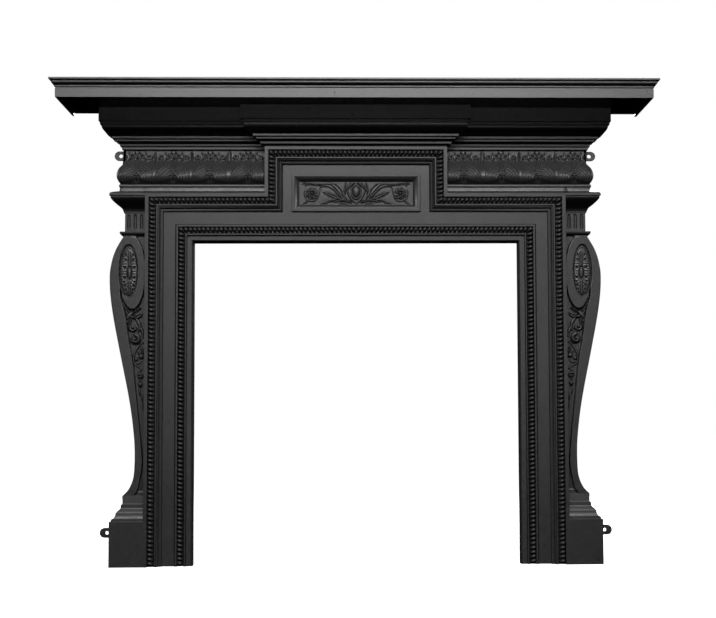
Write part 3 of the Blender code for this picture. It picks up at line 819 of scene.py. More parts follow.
def capital_levels():
    """Collar, neck, and the moulding under the frieze ledge."""
    shift = sizes().leg_shift
    neck = 0.0250
    wide = 0.0070
    profile = [(CONSOLE_TOP - 0.0005, 0.0290), (0.9225, 0.0315), (0.9245, 0.0345), (0.9270, 0.0365)]
    profile += [(0.9300, 0.0377), (0.9335, 0.0377), (0.9342, 0.0370), (0.9345, neck), (0.9880, neck)]
    profile += [(0.9882, 0.0280), (0.9925, 0.0284), (0.9940, 0.0300), (0.9970, 0.0308), (1.0005, 0.0330)]
    profile += [(1.0045, 0.0370), (1.0085, 0.0420), (1.0130, 0.0480), (1.0180, 0.0540), (1.0225, 0.0580)]
    profile += [(1.0262, 0.0602), (1.0290, 0.0610), (1.0298, 0.0592), (1.0328, 0.0592), (1.0334, 0.0648)]
    profile += LEDGE_LEVELS
    levels = []
    for z, depth in profile:
        spread = wide * min(1.0, (1.0600 - z) / 0.0300)
        levels.append((z, depth, shift + depth + spread, LEG_INNER))
    return levels


def flute(x, low, high, radius, depth):
    """A round-headed bead that cuts one flute."""
    let_go()
    bpy.ops.mesh.primitive_uv_sphere_add(segments=20, ring_count=12, radius=radius, location=ORIGIN)
    tool = bpy.context.object
    edit()
    select_all()
    bpy.ops.transform.translate(value=at(x, depth, low + radius))
    choose(lambda p: p.z > low + radius + 0.0001)
    bpy.ops.transform.translate(value=(0.0, 0.0, high - low - 2 * radius))
    object_mode()
    return tool


class SURROUND_OT_legs(bpy.types.Operator):
    """Draw up the plinths and the fluted capitals of the two legs"""

    bl_idname = "surround.legs"
    bl_label = "Plinths and capitals"

    def execute(self, context):
        for side, hand in ((-1, "left"), (1, "right")):
            plinth = stack(f"{hand}_plinth", plinth_levels(), side)
            hollow_back(0.0070, 0.0200)
            soften()
            hand_over(plinth)
            capital = stack(f"{hand}_capital", capital_levels(), side)
            for number in range(3):
                x = side * (sizes().leg_shift + 0.0320 - 0.0110 - 0.0178 * number)
                cut_with(capital, flute(x, 0.9420, 0.9850, 0.0048, 0.0252))
            take(capital)
            hollow_back(0.0070, 0.0120)
            soften(0.0005)
            hand_over(capital)
            ledge = [(1.0350, 0.0610)] + LEDGE_LEVELS
            inner = sizes().tablet_half - 0.0070
            piece = stack(f"{hand}_ledge", [(z, d, 0.6000, inner) for z, d in ledge], side, 0.0300 - WALL_GAP)
            soften(0.0004)
            hand_over(piece)
        return {"FINISHED"}


# Carved surfaces, worked on a fine grid


def eased(value, low, high):
    """Runs smoothly from 0 to 1 as a value goes from low to high."""
    t = np.clip((value - low) / (high - low), 0.0, 1.0)
    return t * t * (3.0 - 2.0 * t)


def near_line(x, z, points):
    """Distance to a line through points, the share of its length there, and the side as a sign."""
    best = np.full(x.shape, 1e9)
    share = np.zeros(x.shape)
    side = np.ones(x.shape)
    runs = [math.dist(a, b) for a, b in zip(points, points[1:])]
    total = sum(runs)
    done = 0.0
    for (ax, az), (bx, bz), run in zip(points, points[1:], runs):
        ux, uz = (bx - ax) / run, (bz - az) / run
        along = np.clip((x - ax) * ux + (z - az) * uz, 0.0, run)
        dx = x - ax - along * ux
        dz = z - az - along * uz
        gap = np.hypot(dx, dz)
        closer = gap < best
        best = np.where(closer, gap, best)
        share = np.where(closer, (done + along) / total, share)
        side = np.where(closer, np.where(dx * uz - dz * ux > 0, 1.0, -1.0), side)
        done += run
    return best, share, side


def smooth_line(points, steps=5):
    """Points of a smooth curve through the given ones."""
    curve = []
    last = len(points) - 1
    for i in range(last):
        p0, p1, p2, p3 = (np.array(points[min(max(k, 0), last)], float) for k in range(i - 1, i + 3))
        for k in range(steps):
            t = k / steps
            curve.append(
                tuple(
                    0.5
                    * (
                        2 * p1
                        + (p2 - p0) * t
                        + (2 * p0 - 5 * p1 + 4 * p2 - p3) * t * t
                        + (3 * p1 - p0 - 3 * p2 + p3) * t**3
                    )
                )
            )
    curve.append(tuple(points[-1]))
    return curve


def stroke(x, z, points, widths, rise):
    """A rounded strand along a smooth curve, with half widths at even shares of its length."""
    return stroke_raw(x, z, smooth_line(points), widths, rise)


def groove(x, z, points, width, depth):
    """A cut line: how deep it goes."""
    gap, share, side = near_line(x, z, smooth_line(points))
    fade = np.clip(np.minimum(share, 1 - share) * 8.0, 0.0, 1.0)
    return depth * np.exp(-((gap / width) ** 2)) * (0.35 + 0.65 * fade)


def leaf(x, z, points, width, rise, teeth=0, bite=0.30):
    """A leaf along a curve: hollowed each side of a midrib, with a toothed edge."""
    gap, share, side = near_line(x, z, smooth_line(points))
    half = width * np.sin(math.pi * np.clip(share, 0.0, 1.0) ** 0.75) ** 0.7
    half = np.maximum(half, width * 0.12 * (1 - share))
    if teeth:
        half = half * (1.0 - bite * ((share * teeth + 0.15 * gap / width) % 1.0))
    across = np.clip(gap / np.maximum(half, 1e-6), 0.0, 1.0)
    body = rise * (0.62 + 0.38 * (1 - share)) * (1 - across**4) ** 0.5
    body = body * (1.0 - 0.45 * np.exp(-((gap / (0.14 * width)) ** 2)))
    if teeth:
        body = body * (1.0 - 0.22 * np.cos(2 * math.pi * share * teeth) * across)
    return np.where(gap < half, body, 0.0)


def ball(x, z, cx, cz, half_x, half_z, rise):
    """A rounded button."""
    reach = ((x - cx) / half_x) ** 2 + ((z - cz) / half_z) ** 2
    return rise * np.sqrt(np.clip(1 - reach, 0, 1))


def dip(x, z, cx, cz, half_x, half_z, depth, turn=0.0):
    """A drilled or punched hollow, which may be turned."""
    c, s = math.cos(math.radians(turn)), math.sin(math.radians(turn))
    a = (x - cx) * c + (z - cz) * s
    b = -(x - cx) * s + (z - cz) * c
    return depth * np.exp(-((a / half_x) ** 2 + (b / half_z) ** 2) * 1.4)


def curl_points(cx, cz, radius, start, sweep_angle, end_share=0.25, steps=16):
    """A spiral that winds in to its eye."""
    points = []
    for i in range(steps + 1):
        t = i / steps
        turn = math.radians(start + sweep_angle * t)
        reach = radius * (1 - (1 - end_share) * t)
        points.append((cx + reach * math.cos(turn), cz + reach * math.sin(turn)))
    return points


def curl(x, z, cx, cz, radius, start, sweep_angle, width, rise):
    """A scroll that winds in to a round eye."""
    points = curl_points(cx, cz, radius - width, start, sweep_angle)
    body = stroke_raw(x, z, points, (width, width * 0.8, width * 0.5), rise)
    return np.maximum(body, ball(x, z, cx, cz, radius * 0.30, radius * 0.30, rise * 0.9))


def stroke_raw(x, z, points, widths, rise):
    """A strand along points that already lie on a curve."""
    gap, share, side = near_line(x, z, points)
    half = np.interp(share, np.linspace(0.0, 1.0, len(widths)), widths)
    lift = rise * np.sqrt(half / max(widths)) * np.sqrt(np.clip(1 - (gap / half) ** 2, 0, 1))
    return np.where(gap < half, lift, 0.0)


def carve_plate(name, columns, rows, place, back, hollow=0.0):
    """A fine grid moved onto a carved surface, with sides and a back, in object mode."""
    let_go()
    bpy.ops.mesh.primitive_grid_add(x_subdivisions=columns, y_subdivisions=rows, size=2.0, location=ORIGIN)
    piece = named(name)
    mesh = piece.data
    spots = np.empty(len(mesh.vertices) * 3)
    mesh.vertices.foreach_get("co", spots)
    spots = spots.reshape(-1, 3)
    x, y, z = place((spots[:, 0] + 1) / 2, (spots[:, 1] + 1) / 2)
    mesh.vertices.foreach_set("co", np.stack((x, y, z), axis=1).ravel())
    mesh.update()
    edit()
    choose_rims()
    extrude(0.0, 0.0, 0.0)
    resize((1.0, 0.0, 1.0), (0.0, -back, 0.0))
    bpy.ops.mesh.edge_face_add()
    if hollow:
        bpy.ops.mesh.select_mode(type="FACE")
        bpy.ops.mesh.inset(thickness=0.0060, use_even_offset=True)
        extrude(0.0, -hollow, 0.0)
    bpy.ops.mesh.select_mode(type="VERT")
    select_all()
    bpy.ops.mesh.normals_make_consistent(inside=False)
    face_out()
    return piece


# Consoles: everything in millimetres, out from the band and up from the hearth

BAND_EDGE = 593.5
CONSOLE_FOOT = 187
CONSOLE_KNEE = 500
CONSOLE_HEAD = 921
KNEE_ROWS = 0.16
CONSOLE_LAP = 6.0
CONSOLE_LINE = (
    (187, 651.0), (195.4, 650.6), (199.6, 646.2), (209.4, 636.5), (222.9, 628.3), (240, 622.0),
    (261, 618.6),
    (304, 617.2),
    (354, 619.2), (420, 626.7), (487, 638.1), (588, 658.8), (688, 678.4), (755, 688.0), (806, 690.3),
    (835, 687.5), (862, 681.3), (885, 672.5), (904, 662.0), (921, 651.5),
)
BORDER_LINE = (
    (187, 32.0), (196.5, 26.5), (203.3, 20.4), (214.4, 15.4), (228, 12.0), (242.3, 9.4),
    (256, 6.4), (270.2, 4.4),
    (284, 3.4), (304, 3.8), (354, 8.6), (392, 12.4), (489, 22.8), (567, 31.0),
    (629, 42.5), (700, 53.0), (748, 65.5), (770, 66.5), (800, 60.0), (850, 44.0), (921, 22.0),
)
OVAL = (33.5, 817.0, 36.0, 102.5)
SINKING = (44.8, 820.8, 26.4, 73.5)
BUTTON = (42.5, 816.0)
NOTCHES = (
    (10.3, 51.2, 1.9, 3.4, -35), (10.6, 37.6, 2.0, 3.8, -40), (13.4, 15.0, 3.6, 2.6, 25),
    (13.6, -13.6, 3.6, 2.2, 15),
    (14.6, -25.2, 1.8, 2.6, 20), (12.3, -36.2, 2.4, 3.2, 35), (9.6, -48.0, 2.0, 3.2, 30),
    (6.6, -58.4, 1.8, 2.8, 25),
)


def curve_through(table):
    """Heights and distances of a smooth curve through a table of them."""
    points = smooth_line([(b, a) for a, b in table], 4)
    heights = [p[1] for p in points]
    return heights, [p[0] for p in points]


def patera(out, z, floor):
    """Depth inside the oval sinking: petals around a long button."""
    cx, cz, half_x, half_z = SINKING
    reach = np.hypot((out - cx) / half_x, (z - cz) / half_z)
    body = floor + 4.6 * np.clip(1 - (reach / 0.93) ** 7, 0, 1) ** 0.5 * (reach < 0.93)
    bx, bz = BUTTON
    cuts = 0.0
    for dx, dz, half_a, half_b, turn in NOTCHES:
        for side in (-1, 1):
            cuts = np.maximum(cuts, dip(out, z, bx + side * dx, bz + dz, half_a, half_b, 3.9, side * turn))
            line = [(bx + side * dx * 0.30, bz + dz * 0.72), (bx + side * dx * 0.8, bz + dz * 0.96)]
            cuts = np.maximum(cuts, groove(out, z, line, 1.1, 1.5))
    for side in (-1, 1):
        for ends in ((17.0, 62.0), (-17.0, -60.0)):
            line = [(bx + side * 4.6, bz + ends[0]), (bx + side * 3.4, bz + ends[1])]
            cuts = np.maximum(cuts, groove(out, z, line, 1.2, 1.1))
    spine = groove(out, z, [(bx, bz + 17.0), (bx, bz + 66.0)], 1.7, 1.0)
    spine = np.maximum(spine, groove(out, z, [(bx, bz - 17.0), (bx, bz - 62.0)], 1.7, 1.0))
    moat = np.abs(np.hypot((out - bx) / 6.6, (z - bz) / 16.5) - 1.0)
    cuts = np.maximum(cuts, 3.2 * np.exp(-((moat / 0.20) ** 2)))
    ribs = 0.35 * np.cos((z - bz) * 0.9) * (np.abs(out - bx) > 6) * (reach < 0.85)
    body = body - cuts + spine * (cuts < 0.8) + ribs * (cuts < 0.5)
    body = np.maximum(body, floor)
    inside = np.hypot((out - bx) / 5.0, (z - bz) / 14.0) < 1
    return np.where(inside, floor + 3.6 + ball(out, z, bx, bz, 5.2, 14.6, 2.6), body)


HUSK_LEAVES = (
    (((64.5, 746), (55.0, 727), (46.0, 712), (38.0, 704)), 5.2, 5.5, 0),
    (((31.0, 707), (21.0, 714), (9.0, 720)), 5.4, 7.5, 3),
    (((34.0, 698), (22.0, 695), (5.5, 703)), 8.2, 8.5, 3),
    (((46.0, 694), (50.0, 684), (47.0, 672)), 4.6, 6.5, 2),
    (((38.0, 690), (42.0, 680), (38.0, 671)), 4.2, 6.5, 0),
    (((12.0, 608), (6.0, 600), (4.5, 588)), 4.6, 6.0, 2),
    (((20.0, 596), (12.0, 592), (6.0, 595)), 3.0, 5.0, 0),
    (((12.0, 492), (13.0, 483), (10.0, 474)), 2.6, 4.0, 0),
    (((6.5, 478), (6.0, 468), (3.5, 456)), 2.4, 4.0, 0),
    (((5.0, 454), (4.0, 445), (3.0, 434)), 2.0, 3.0, 0),
)
HUSK_STEMS = (
    (((30.0, 694), (19.0, 682), (13.5, 668), (16.0, 655)), (3.2, 4.6, 3.0), 6.5),
    (((12.0, 664), (6.0, 652), (4.0, 636)), (2.6, 4.0, 2.0), 6.0),
    (((3.0, 622), (14.0, 614), (26.0, 596), (30.5, 578), (28.0, 563), (17.0, 554), (6.0, 546)),
     (1.6, 2.3, 2.3, 2.2, 1.6), 5.5),
    (((24.5, 568), (18.0, 564), (9.0, 568)), (1.8, 3.0, 1.4), 6.0),
    (((6.5, 546), (15.0, 540), (19.5, 530)), (1.5, 2.0, 1.5), 4.5),
)
HUSK_CURLS = (
    (34.0, 663.5, 13.5, 200, 400, 4.6, 9.0),
    (26.5, 631.0, 19.0, 100, 330, 6.6, 10.0),
    (11.5, 528.0, 9.6, 60, 330, 3.6, 7.0),
)
HUSK_BUDS = (
    (34.0, 663.0, 12.0, 12.0, 6.5), (25.0, 630.0, 15.5, 15.0, 4.5), (23.0, 575.5, 5.2, 6.0, 7.5),
    (9.5, 583.0, 8.0, 8.0, 8.0),
    (11.0, 527.0, 8.5, 8.5, 3.5), (11.5, 505.0, 6.4, 6.2, 6.5), (12.0, 516.0, 3.6, 3.0, 4.0),
)


def husks(out, z):
    """The hanging carving below the oval: ribbon, leaves, scrolls and buds."""
    lift = np.zeros(out.shape)
    for points, width, rise, teeth in HUSK_LEAVES:
        lift = np.maximum(lift, leaf(out, z, points, width * 1.15, rise * 1.25, teeth))
    for points, widths, rise in HUSK_STEMS:
        lift = np.maximum(lift, stroke(out, z, points, [w * 1.15 for w in widths], rise * 1.2))
    for cx, cz, half_x, half_z, rise in HUSK_BUDS:
        lift = np.maximum(lift, ball(out, z, cx, cz, half_x, half_z, rise))
    for cx, cz, radius, start, turn, width, rise in HUSK_CURLS:
        lift = np.maximum(lift, curl(out, z, cx, cz, radius, start, turn, width, rise * 1.15))
    for x0, x1 in ((-8.0, 5.0), (-3.5, 9.5)):
        line = [(42.0 + x0, 706.0), (42.0 + (x0 + x1) / 2, 698.0), (42.0 + x1, 689.0)]
        lift = np.maximum(lift, stroke(out, z, line, (3.0, 3.6, 3.0), 9.5))
    line = [(33.5, 691.0), (42.0, 698.5), (50.0, 705.0)]
    lift = np.maximum(lift, stroke(out, z, line, (3.2, 4.4, 3.2), 8.5))
    cuts = dip(out, z, 30.5, 659.5, 2.4, 3.2, 4.5, 30)
    cuts = np.maximum(cuts, dip(out, z, 25.0, 628.0, 3.0, 3.0, 3.5))
    cuts = np.maximum(cuts, dip(out, z, 10.5, 530.0, 2.2, 1.8, 3.0))
    return np.maximum(lift - cuts, 0.0)


def console_depth(out, z, edge):
    """How far the console's face stands in front of the wall."""
    ground = 28.0
    border_heights, border_outs = curve_through(BORDER_LINE)
    inner = np.interp(z, border_heights, border_outs)
    depth = np.full(out.shape, ground)
    depth = np.maximum(depth, ground + husks(out, z) * eased(736.0 - z, -14.0, 6.0))
    depth = np.maximum(depth, ground + 17.0 * eased(out, inner - 0.9, inner + 0.9))
    depth = np.maximum(depth, ground + 17.0 * eased(-z, -203.5, -195.0))
    cx, cz, half_x, half_z = OVAL
    ring = np.hypot((out - cx) / half_x, (z - cz) / half_z)
    raised = ground + 17.5 * eased(ring, 1.022, 0.985)
    depth = np.maximum(depth, raised)
    sx, sz, sink_x, sink_z = SINKING
    sunk = np.hypot((out - sx) / sink_x, (z - sz) / sink_z)
    rim = eased(sunk, 1.0, 1.045)
    inside = patera(out, z, 36.5)
    depth = np.where(sunk < 1.045, inside * (1 - rim) + depth * rim, depth)
    soft = np.clip(edge - out, 0.0, 2.0) / 2.0
    return depth - 1.6 * (1 - soft) ** 2


class SURROUND_OT_consoles(bpy.types.Operator):
    """Carve the two consoles with their oval, patera and hanging husks"""

    bl_idname = "surround.consoles"
    bl_label = "Consoles"

    def execute(self, context):
        heights, edges = curve_through(CONSOLE_LINE)

        def place(u, v):
            low = CONSOLE_FOOT + (CONSOLE_KNEE - CONSOLE_FOOT) * v / KNEE_ROWS
            high = CONSOLE_KNEE + (CONSOLE_HEAD - CONSOLE_KNEE) * (v - KNEE_ROWS) / (1.0 - KNEE_ROWS)
            z = np.where(v < KNEE_ROWS, low, high)
            edge = np.interp(z, heights, edges) - BAND_EDGE
            out = -CONSOLE_LAP + (edge + CONSOLE_LAP) * u
            depth = console_depth(out, z, edge)
            return -(BAND_EDGE + out) * MM, -depth * MM, z * MM

        left = carve_plate("left_console", 82, 430, place, CONSOLE_BACK, 0.0200)
        right = mirrored(left, "right_console")
        # The wider reach spreads the painted hollow shade over the sunk ground among the carvings.
        hand_over(left, smooth=48.0, carved=True, reach=0.012)
        hand_over(right, smooth=48.0, carved=True, reach=0.012)
        return {"FINISHED"}


# Frieze: in millimetres, across from each motif's stem and up from the hearth

FRIEZE_PROFILE = (
    (1053, 38.0), (1057.5, 38.6), (1059.5, 40.6), (1062.0, 41.4), (1065.5, 41.2), (1067.6, 39.6),
    (1068.6, 37.2),
    (1070.5, 39.0), (1074, 41.6), (1078, 44.0), (1082, 45.8), (1086, 47.0), (1091, 47.6), (1096, 47.2),
    (1101, 46.2), (1106, 44.8), (1110, 43.2), (1114, 41.0), (1118, 38.2), (1122, 35.0), (1126, 31.8),
    (1131, 28.6), (1137, 26.4), (1143, 25.2), (1150, 24.9), (1176, 24.9),
)
FRIEZE_LOW = 1053.0
FRIEZE_TALL = 123.0
MOTIF_CENTRES = (304.8, 412.4, 515.6, 618.0)


def frieze_motif(side, z):
    """Height of one motif at a distance from its stem: volutes and curls over lobes that spread in arcs."""
    foot = 1083.0
    reach = np.hypot(side, (z - foot) * 0.97)
    angle = np.degrees(np.arctan2(z - foot, side))
    lobe = (reach - 8.0 - 5.5 * np.clip(1.0 - angle / 90.0, 0.0, 1.3) ** 1.4) / 7.6
    share = lobe - np.floor(lobe)
    fan_out = eased(reach, 9.0, 12.0) * eased(reach, 52.5, 45.0)
    fan_out = fan_out * eased(angle, -26.0, -8.0) * eased(angle, 86.0, 70.0)
    lift = fan_out * (0.2 + 2.2 * eased(share, 0.0, 0.24) * (1.0 - 0.85 * share**1.2))
    lift = np.maximum(lift, stroke(side, z, [(0.0, 1101.0), (6.0, 1098.5), (10.5, 1092.0), (12.5, 1082.0)],
                                   (2.8, 2.5, 1.4), 3.6))
    lift = np.maximum(lift, ball(side, z, 0.0, 1094.0, 3.0, 4.5, 2.8))
    stem = stroke(side, z, [(0.0, 1104.0), (0.0, 1128.0)], (1.8, 2.8), 3.4)
    lift = np.maximum(lift, stem)
    for line, widths, rise in (
        ([(0.0, 1152.0), (2.6, 1160.0), (6.2, 1167.0)], (2.0, 2.8, 1.6), 3.4),
        ([(2.5, 1110.0), (5.5, 1126.0), (9.0, 1137.0), (12.0, 1141.0)], (1.2, 2.4, 2.0), 2.6),
        ([(11.0, 1112.0), (19.0, 1124.0), (26.0, 1133.0), (31.0, 1139.0)], (1.5, 2.8, 2.2), 2.6),
        ([(20.0, 1110.0), (32.0, 1122.0), (40.0, 1134.0)], (1.2, 2.2, 1.4), 1.8),
    ):
        lift = np.maximum(lift, stroke(side, z, line, widths, rise))
    lift = np.maximum(lift, ball(side, z, 0.0, 1161.0, 3.6, 7.0, 3.4))
    for centre, height, radius in ((13.4, 1149.5, 8.2), (34.5, 1147.5, 7.6)):
        ring = np.hypot(side - centre, z - height)
        round_edge = 3.6 * np.sqrt(np.clip(1 - ((ring - radius + 2.2) / 2.3) ** 2, 0, 1))
        lift = np.maximum(lift, round_edge)
        lift = np.maximum(lift, ball(side, z, centre, height, 2.4, 2.4, 2.2))
    for dx, dz, half_x, half_z, depth, turn in (
        (0.0, 1140.5, 3.6, 5.0, 4.4, 0), (7.0, 1136.0, 2.4, 4.0, 2.6, 30),
        (22.5, 1138.0, 3.4, 5.0, 3.0, 20),
        (42.0, 1139.0, 2.6, 6.0, 2.2, 10), (0.0, 1078.0, 3.0, 8.0, 3.8, 0),
        (7.0, 1077.0, 1.6, 7.0, 2.4, 24),
        (6.5, 1104.0, 2.2, 3.0, 3.0, 30), (6.6, 1158.0, 2.0, 3.2, 2.0, 0), (23.8, 1156.0, 2.4, 5.0, 1.6, 0),
    ):
        lift = lift - dip(side, z, dx, dz, half_x, half_z, depth, turn)
    gap, share, hand = near_line(side, z, [(51.5, 1128.0), (52.0, 1167.0)])
    width = 8.0 * np.sin(math.pi * np.clip(0.12 + 0.88 * share, 0, 1)) ** 0.8
    streaks = 0.55 + 0.45 * np.cos(gap * 2 * math.pi / 3.6)
    plume = 2.6 * streaks * np.sqrt(np.clip(1 - gap / width, 0, 1))
    return np.maximum(lift, np.where(gap < width, plume, -9.0))


def frieze_relief(across, z):
    """Height of the carving along the whole frieze."""
    lift = np.zeros(across.shape)
    for centre in MOTIF_CENTRES:
        near = np.abs(across - centre) < 52.0
        lift = np.where(near, frieze_motif(np.abs(across - centre), z), lift)
    tall = eased(z, 1069.0, 1073.0) * eased(z, 1166.5, 1163.0)
    return lift * tall


class SURROUND_OT_frieze(bpy.types.Operator):
    """Carve the swelling frieze at each side of the tablet, with its plain returns to the wall"""

    bl_idname = "surround.frieze"
    bl_label = "Frieze"

    def execute(self, context):
        heights = [z for z, depth in FRIEZE_PROFILE]
        depths = [depth for z, depth in FRIEZE_PROFILE]
        shift = sizes().frieze_shift / MM
        inner = sizes().tablet_half / MM - 7.0
        turn = 0.965

        def place(u, v):
            z = FRIEZE_LOW + FRIEZE_TALL * v
            depth = np.interp(z, heights, depths)
            corner = shift + depth
            across = inner + (corner - inner) * np.minimum(u / turn, 1.0)
            lift = frieze_relief(across, z) * eased(corner - across, 0.0, 5.0)
            back_share = np.clip((u - turn) / (1.0 - turn), 0.0, 1.0)
            y = np.where(u <= turn, depth + lift, depth + (2.6 - depth) * back_share)
            return -across * MM, -y * MM, z * MM

        left = carve_plate("left_frieze", 392, 124, place, 0.0015, 0.0110)
        right = mirrored(left, "right_frieze")
        hand_over(left, smooth=50.0, carved=True, reach=0.003)
        hand_over(right, smooth=50.0, carved=True, reach=0.003)
        return {"FINISHED"}


# Cornice

BREAK_FORWARD = 0.0395
BREAK_SHIFT = 0.1890
BREAK_FOOT_DEPTH = 0.0640


def cornice_profile():
    """Fillets, hollow, swelling moulding and fascia, as height and depth."""
    profile = [(1.1660, 0.0262), (1.1672, 0.0330), (1.1680, 0.0345), (1.1734, 0.0345), (1.1740, 0.0310)]
    profile += [(1.1758, 0.0310), (1.1764, 0.0395), (1.1815, 0.0400), (1.1820, 0.0385), (1.1842, 0.0400)]
    profile += [(1.1865, 0.0435), (1.1882, 0.0480), (1.1887, 0.0505), (1.1940, 0.0505), (1.1944, 0.0540)]
    profile += [(1.1950, 0.0590), (1.2010, 0.0590), (1.2016, 0.0606), (1.2032, 0.0646), (1.2060, 0.0698)]
    profile += [(1.2095, 0.0748), (1.2135, 0.0790), (1.2180, 0.0822), (1.2220, 0.0838), (1.2256, 0.0842)]
    profile += [(1.2262, 0.0822), (1.2286, 0.0822), (1.2292, 0.0880), (1.2342, 0.0880), (1.2348, 0.0840)]
    return profile + [(1.2374, 0.0840), (1.2380, 0.0914), (1.2767, 0.0914)]


def ring_stack(name, rings, back):
    """A block drawn up from the middle of the wall: rings of (height, half width, depth)."""
    z, half, depth = rings[0]
    piece = start_plane(name, (-half, -back), (half, -depth), z)
    for (z0, h0, d0), (z1, h1, d1) in zip(rings, rings[1:]):
        extrude(0.0, 0.0, z1 - z0)
        resize((h1 / h0, (d1 - back) / (d0 - back), 1.0), (0.0, -back, z1))
    close_block()
    return piece


class SURROUND_OT_cornice(bpy.types.Operator):
    """Draw up the cornice along the wall and the part of it that breaks forward"""

    bl_idname = "surround.cornice"
    bl_label = "Cornice"

    def execute(self, context):
        shift = sizes().frieze_shift
        back = 0.0010
        long = ring_stack("cornice", [(z, shift + d, d) for z, d in cornice_profile()], back)
        hollow_back(0.0070, 0.0200, back)
        soften(0.0005)
        hand_over(long)
        forward = BREAK_FORWARD
        rings = []
        tablet_top = sizes().tablet_top
        for z in (tablet_top - 0.003, tablet_top + 0.001):
            rings.append((z, sizes().tablet_half - 0.0010, BREAK_FOOT_DEPTH))
        for z, d in cornice_profile():
            if z > tablet_top + 0.0014:
                rings.append((z, BREAK_SHIFT + d + forward, d + forward))
        block = ring_stack("cornice_break", rings, 0.0270)
        soften(0.0005)
        hand_over(block)
        return {"FINISHED"}


# Tablet

PANEL_HALF = 0.1810
PANEL_LOW = 0.9900
PANEL_HIGH = 1.0962
PANEL_FLOOR = 0.0320
PANEL_LAP = 0.0030


class SURROUND_OT_tablet(bpy.types.Operator):
    """Draw the raised frame in the tablet and carve the relief on its floor"""

    bl_idname = "surround.tablet"
    bl_label = "Tablet panel"

    def execute(self, context):
        middle = (PANEL_LOW + PANEL_HIGH) / 2
        half_z = (PANEL_HIGH - PANEL_LOW) / 2
        steps = [(0.0, 0.0265), (0.0, 0.0462), (0.0008, 0.0470), (0.0075, 0.0470), (0.0082, 0.0463)]
        steps += [(0.0084, 0.0436), (0.0112, 0.0430), (0.0116, 0.0405), (0.0143, 0.0398), (0.0147, 0.0372)]
        steps += [(0.0185, 0.0352), (0.0200, 0.0338), (0.0206, PANEL_FLOOR)]
        depth = steps[0][1]
        piece = start_plane("tablet_frame", (-PANEL_HALF, -half_z), (PANEL_HALF, half_z), 0.0)
        turn_by(QUARTER_TURN, "X")
        bpy.ops.transform.translate(value=(0.0, -depth, middle))
        for (i0, d0), (i1, d1) in zip(steps, steps[1:]):
            extrude(0.0, d0 - d1, 0.0)
            shrink = ((PANEL_HALF - i1) / (PANEL_HALF - i0), 1.0, (half_z - i1) / (half_z - i0))
            resize(shrink, (0.0, -d1, middle))
        close_block()
        soften(0.0004)
        hand_over(piece)

        span = (PANEL_HALF - 0.0207) / MM
        tall = (half_z - 0.0207) / MM

        def place(u, v):
            across = span * (2 * u - 1)
            up = tall * (2 * v - 1)
            lift = panel_relief(np.abs(across), up) + panel_middle(across, up)
            rim = np.minimum(span - np.abs(across), tall - np.abs(up))
            lift = np.clip(lift, -3.6, 12.5) * eased(rim, 0.0, 0.8)
            return across * MM, -(PANEL_FLOOR / MM + 0.15 + lift) * MM, middle + up * MM

        relief = carve_plate("tablet_relief", 452, 94, place, PANEL_FLOOR - 0.0045)
        hand_over(relief, smooth=55.0, carved=True, reach=0.003)
        return {"FINISHED"}


PANEL_LEAVES = (
    (((11.0, -23.0), (32.0, -22.0), (60.0, -20.0), (104.0, -30.5)), 8.0, 5.2, 4),
    (((36.0, -19.0), (56.0, -10.0), (78.0, -2.5), (99.0, 3.5)), 9.6, 5.4, 3),
    (((38.0, -13.0), (58.0, 12.0), (76.0, 24.0), (100.0, 23.0)), 9.5, 5.4, 0),
    (((40.0, -16.0), (33.0, 0.0), (31.0, 16.0), (29.0, 31.0)), 5.2, 4.6, 4),
    (((45.0, -14.0), (45.0, 4.0), (50.0, 18.0), (56.0, 27.0)), 4.4, 3.8, 3),
    (((86.0, 21.0), (104.0, 24.5), (124.0, 26.0), (153.0, 31.5)), 5.4, 4.8, 4),
    (((56.0, 27.5), (64.0, 24.0), (74.0, 27.0)), 3.2, 3.2, 2),
    (((76.0, 28.0), (84.0, 24.5), (94.0, 28.5)), 2.6, 2.6, 2),
    (((136.0, -18.0), (141.0, -25.0), (152.0, -31.0)), 3.4, 3.4, 2),
    (((139.0, 19.0), (146.0, 25.0), (155.0, 26.0)), 3.0, 3.2, 0),
    (((12.0, -29.0), (34.0, -27.5), (52.0, -30.5)), 3.4, 3.0, 0),
)
PANEL_STEMS = (
    (((34.0, -17.5), (54.0, 2.0), (70.0, 15.5), (88.0, 20.0), (101.0, 17.0)),
    (2.2, 2.6, 2.6, 2.0, 1.4), 5.2),
    (((20.0, -24.0), (28.0, -14.0), (37.0, -1.0), (43.0, 12.0)), (2.0, 2.4, 1.6), 4.4),
    (((101.0, 17.0), (106.0, -2.0), (112.0, -17.0), (124.0, -22.5), (138.0, -18.0), (146.5, -4.0),
    (145.0, 10.0)),
     (1.4, 2.0, 2.4, 2.6, 2.4, 2.0, 1.0), 4.2),
)
ROSETTE = (124.6, -0.8)


def rosette(across, up):
    """A whirling flower of seven petals around an eye."""
    dx = across - ROSETTE[0]
    dz = up - ROSETTE[1]
    reach = np.hypot(dx, dz)
    turn = np.arctan2(dz, dx) + reach * 0.075
    petal = 0.5 + 0.5 * np.cos(7 * turn)
    body = 6.4 * np.sqrt(np.clip(1 - (reach / (18.2 - 1.6 * (1 - petal))) ** 4, 0, 1))
    body = body * (0.52 + 0.48 * petal**0.6) * (0.70 + 0.30 * eased(reach, 2.0, 12.0))
    cup = 1.4 * np.exp(-(((reach - 12.5) / 3.0) ** 2)) * petal
    eye = ball(across, up, *ROSETTE, 3.8, 3.8, 7.0)
    moat = 2.2 * np.exp(-(((reach - 4.9) / 1.0) ** 2))
    return np.maximum(np.where(reach < 18.2, body - cup - moat, 0.0), eye)


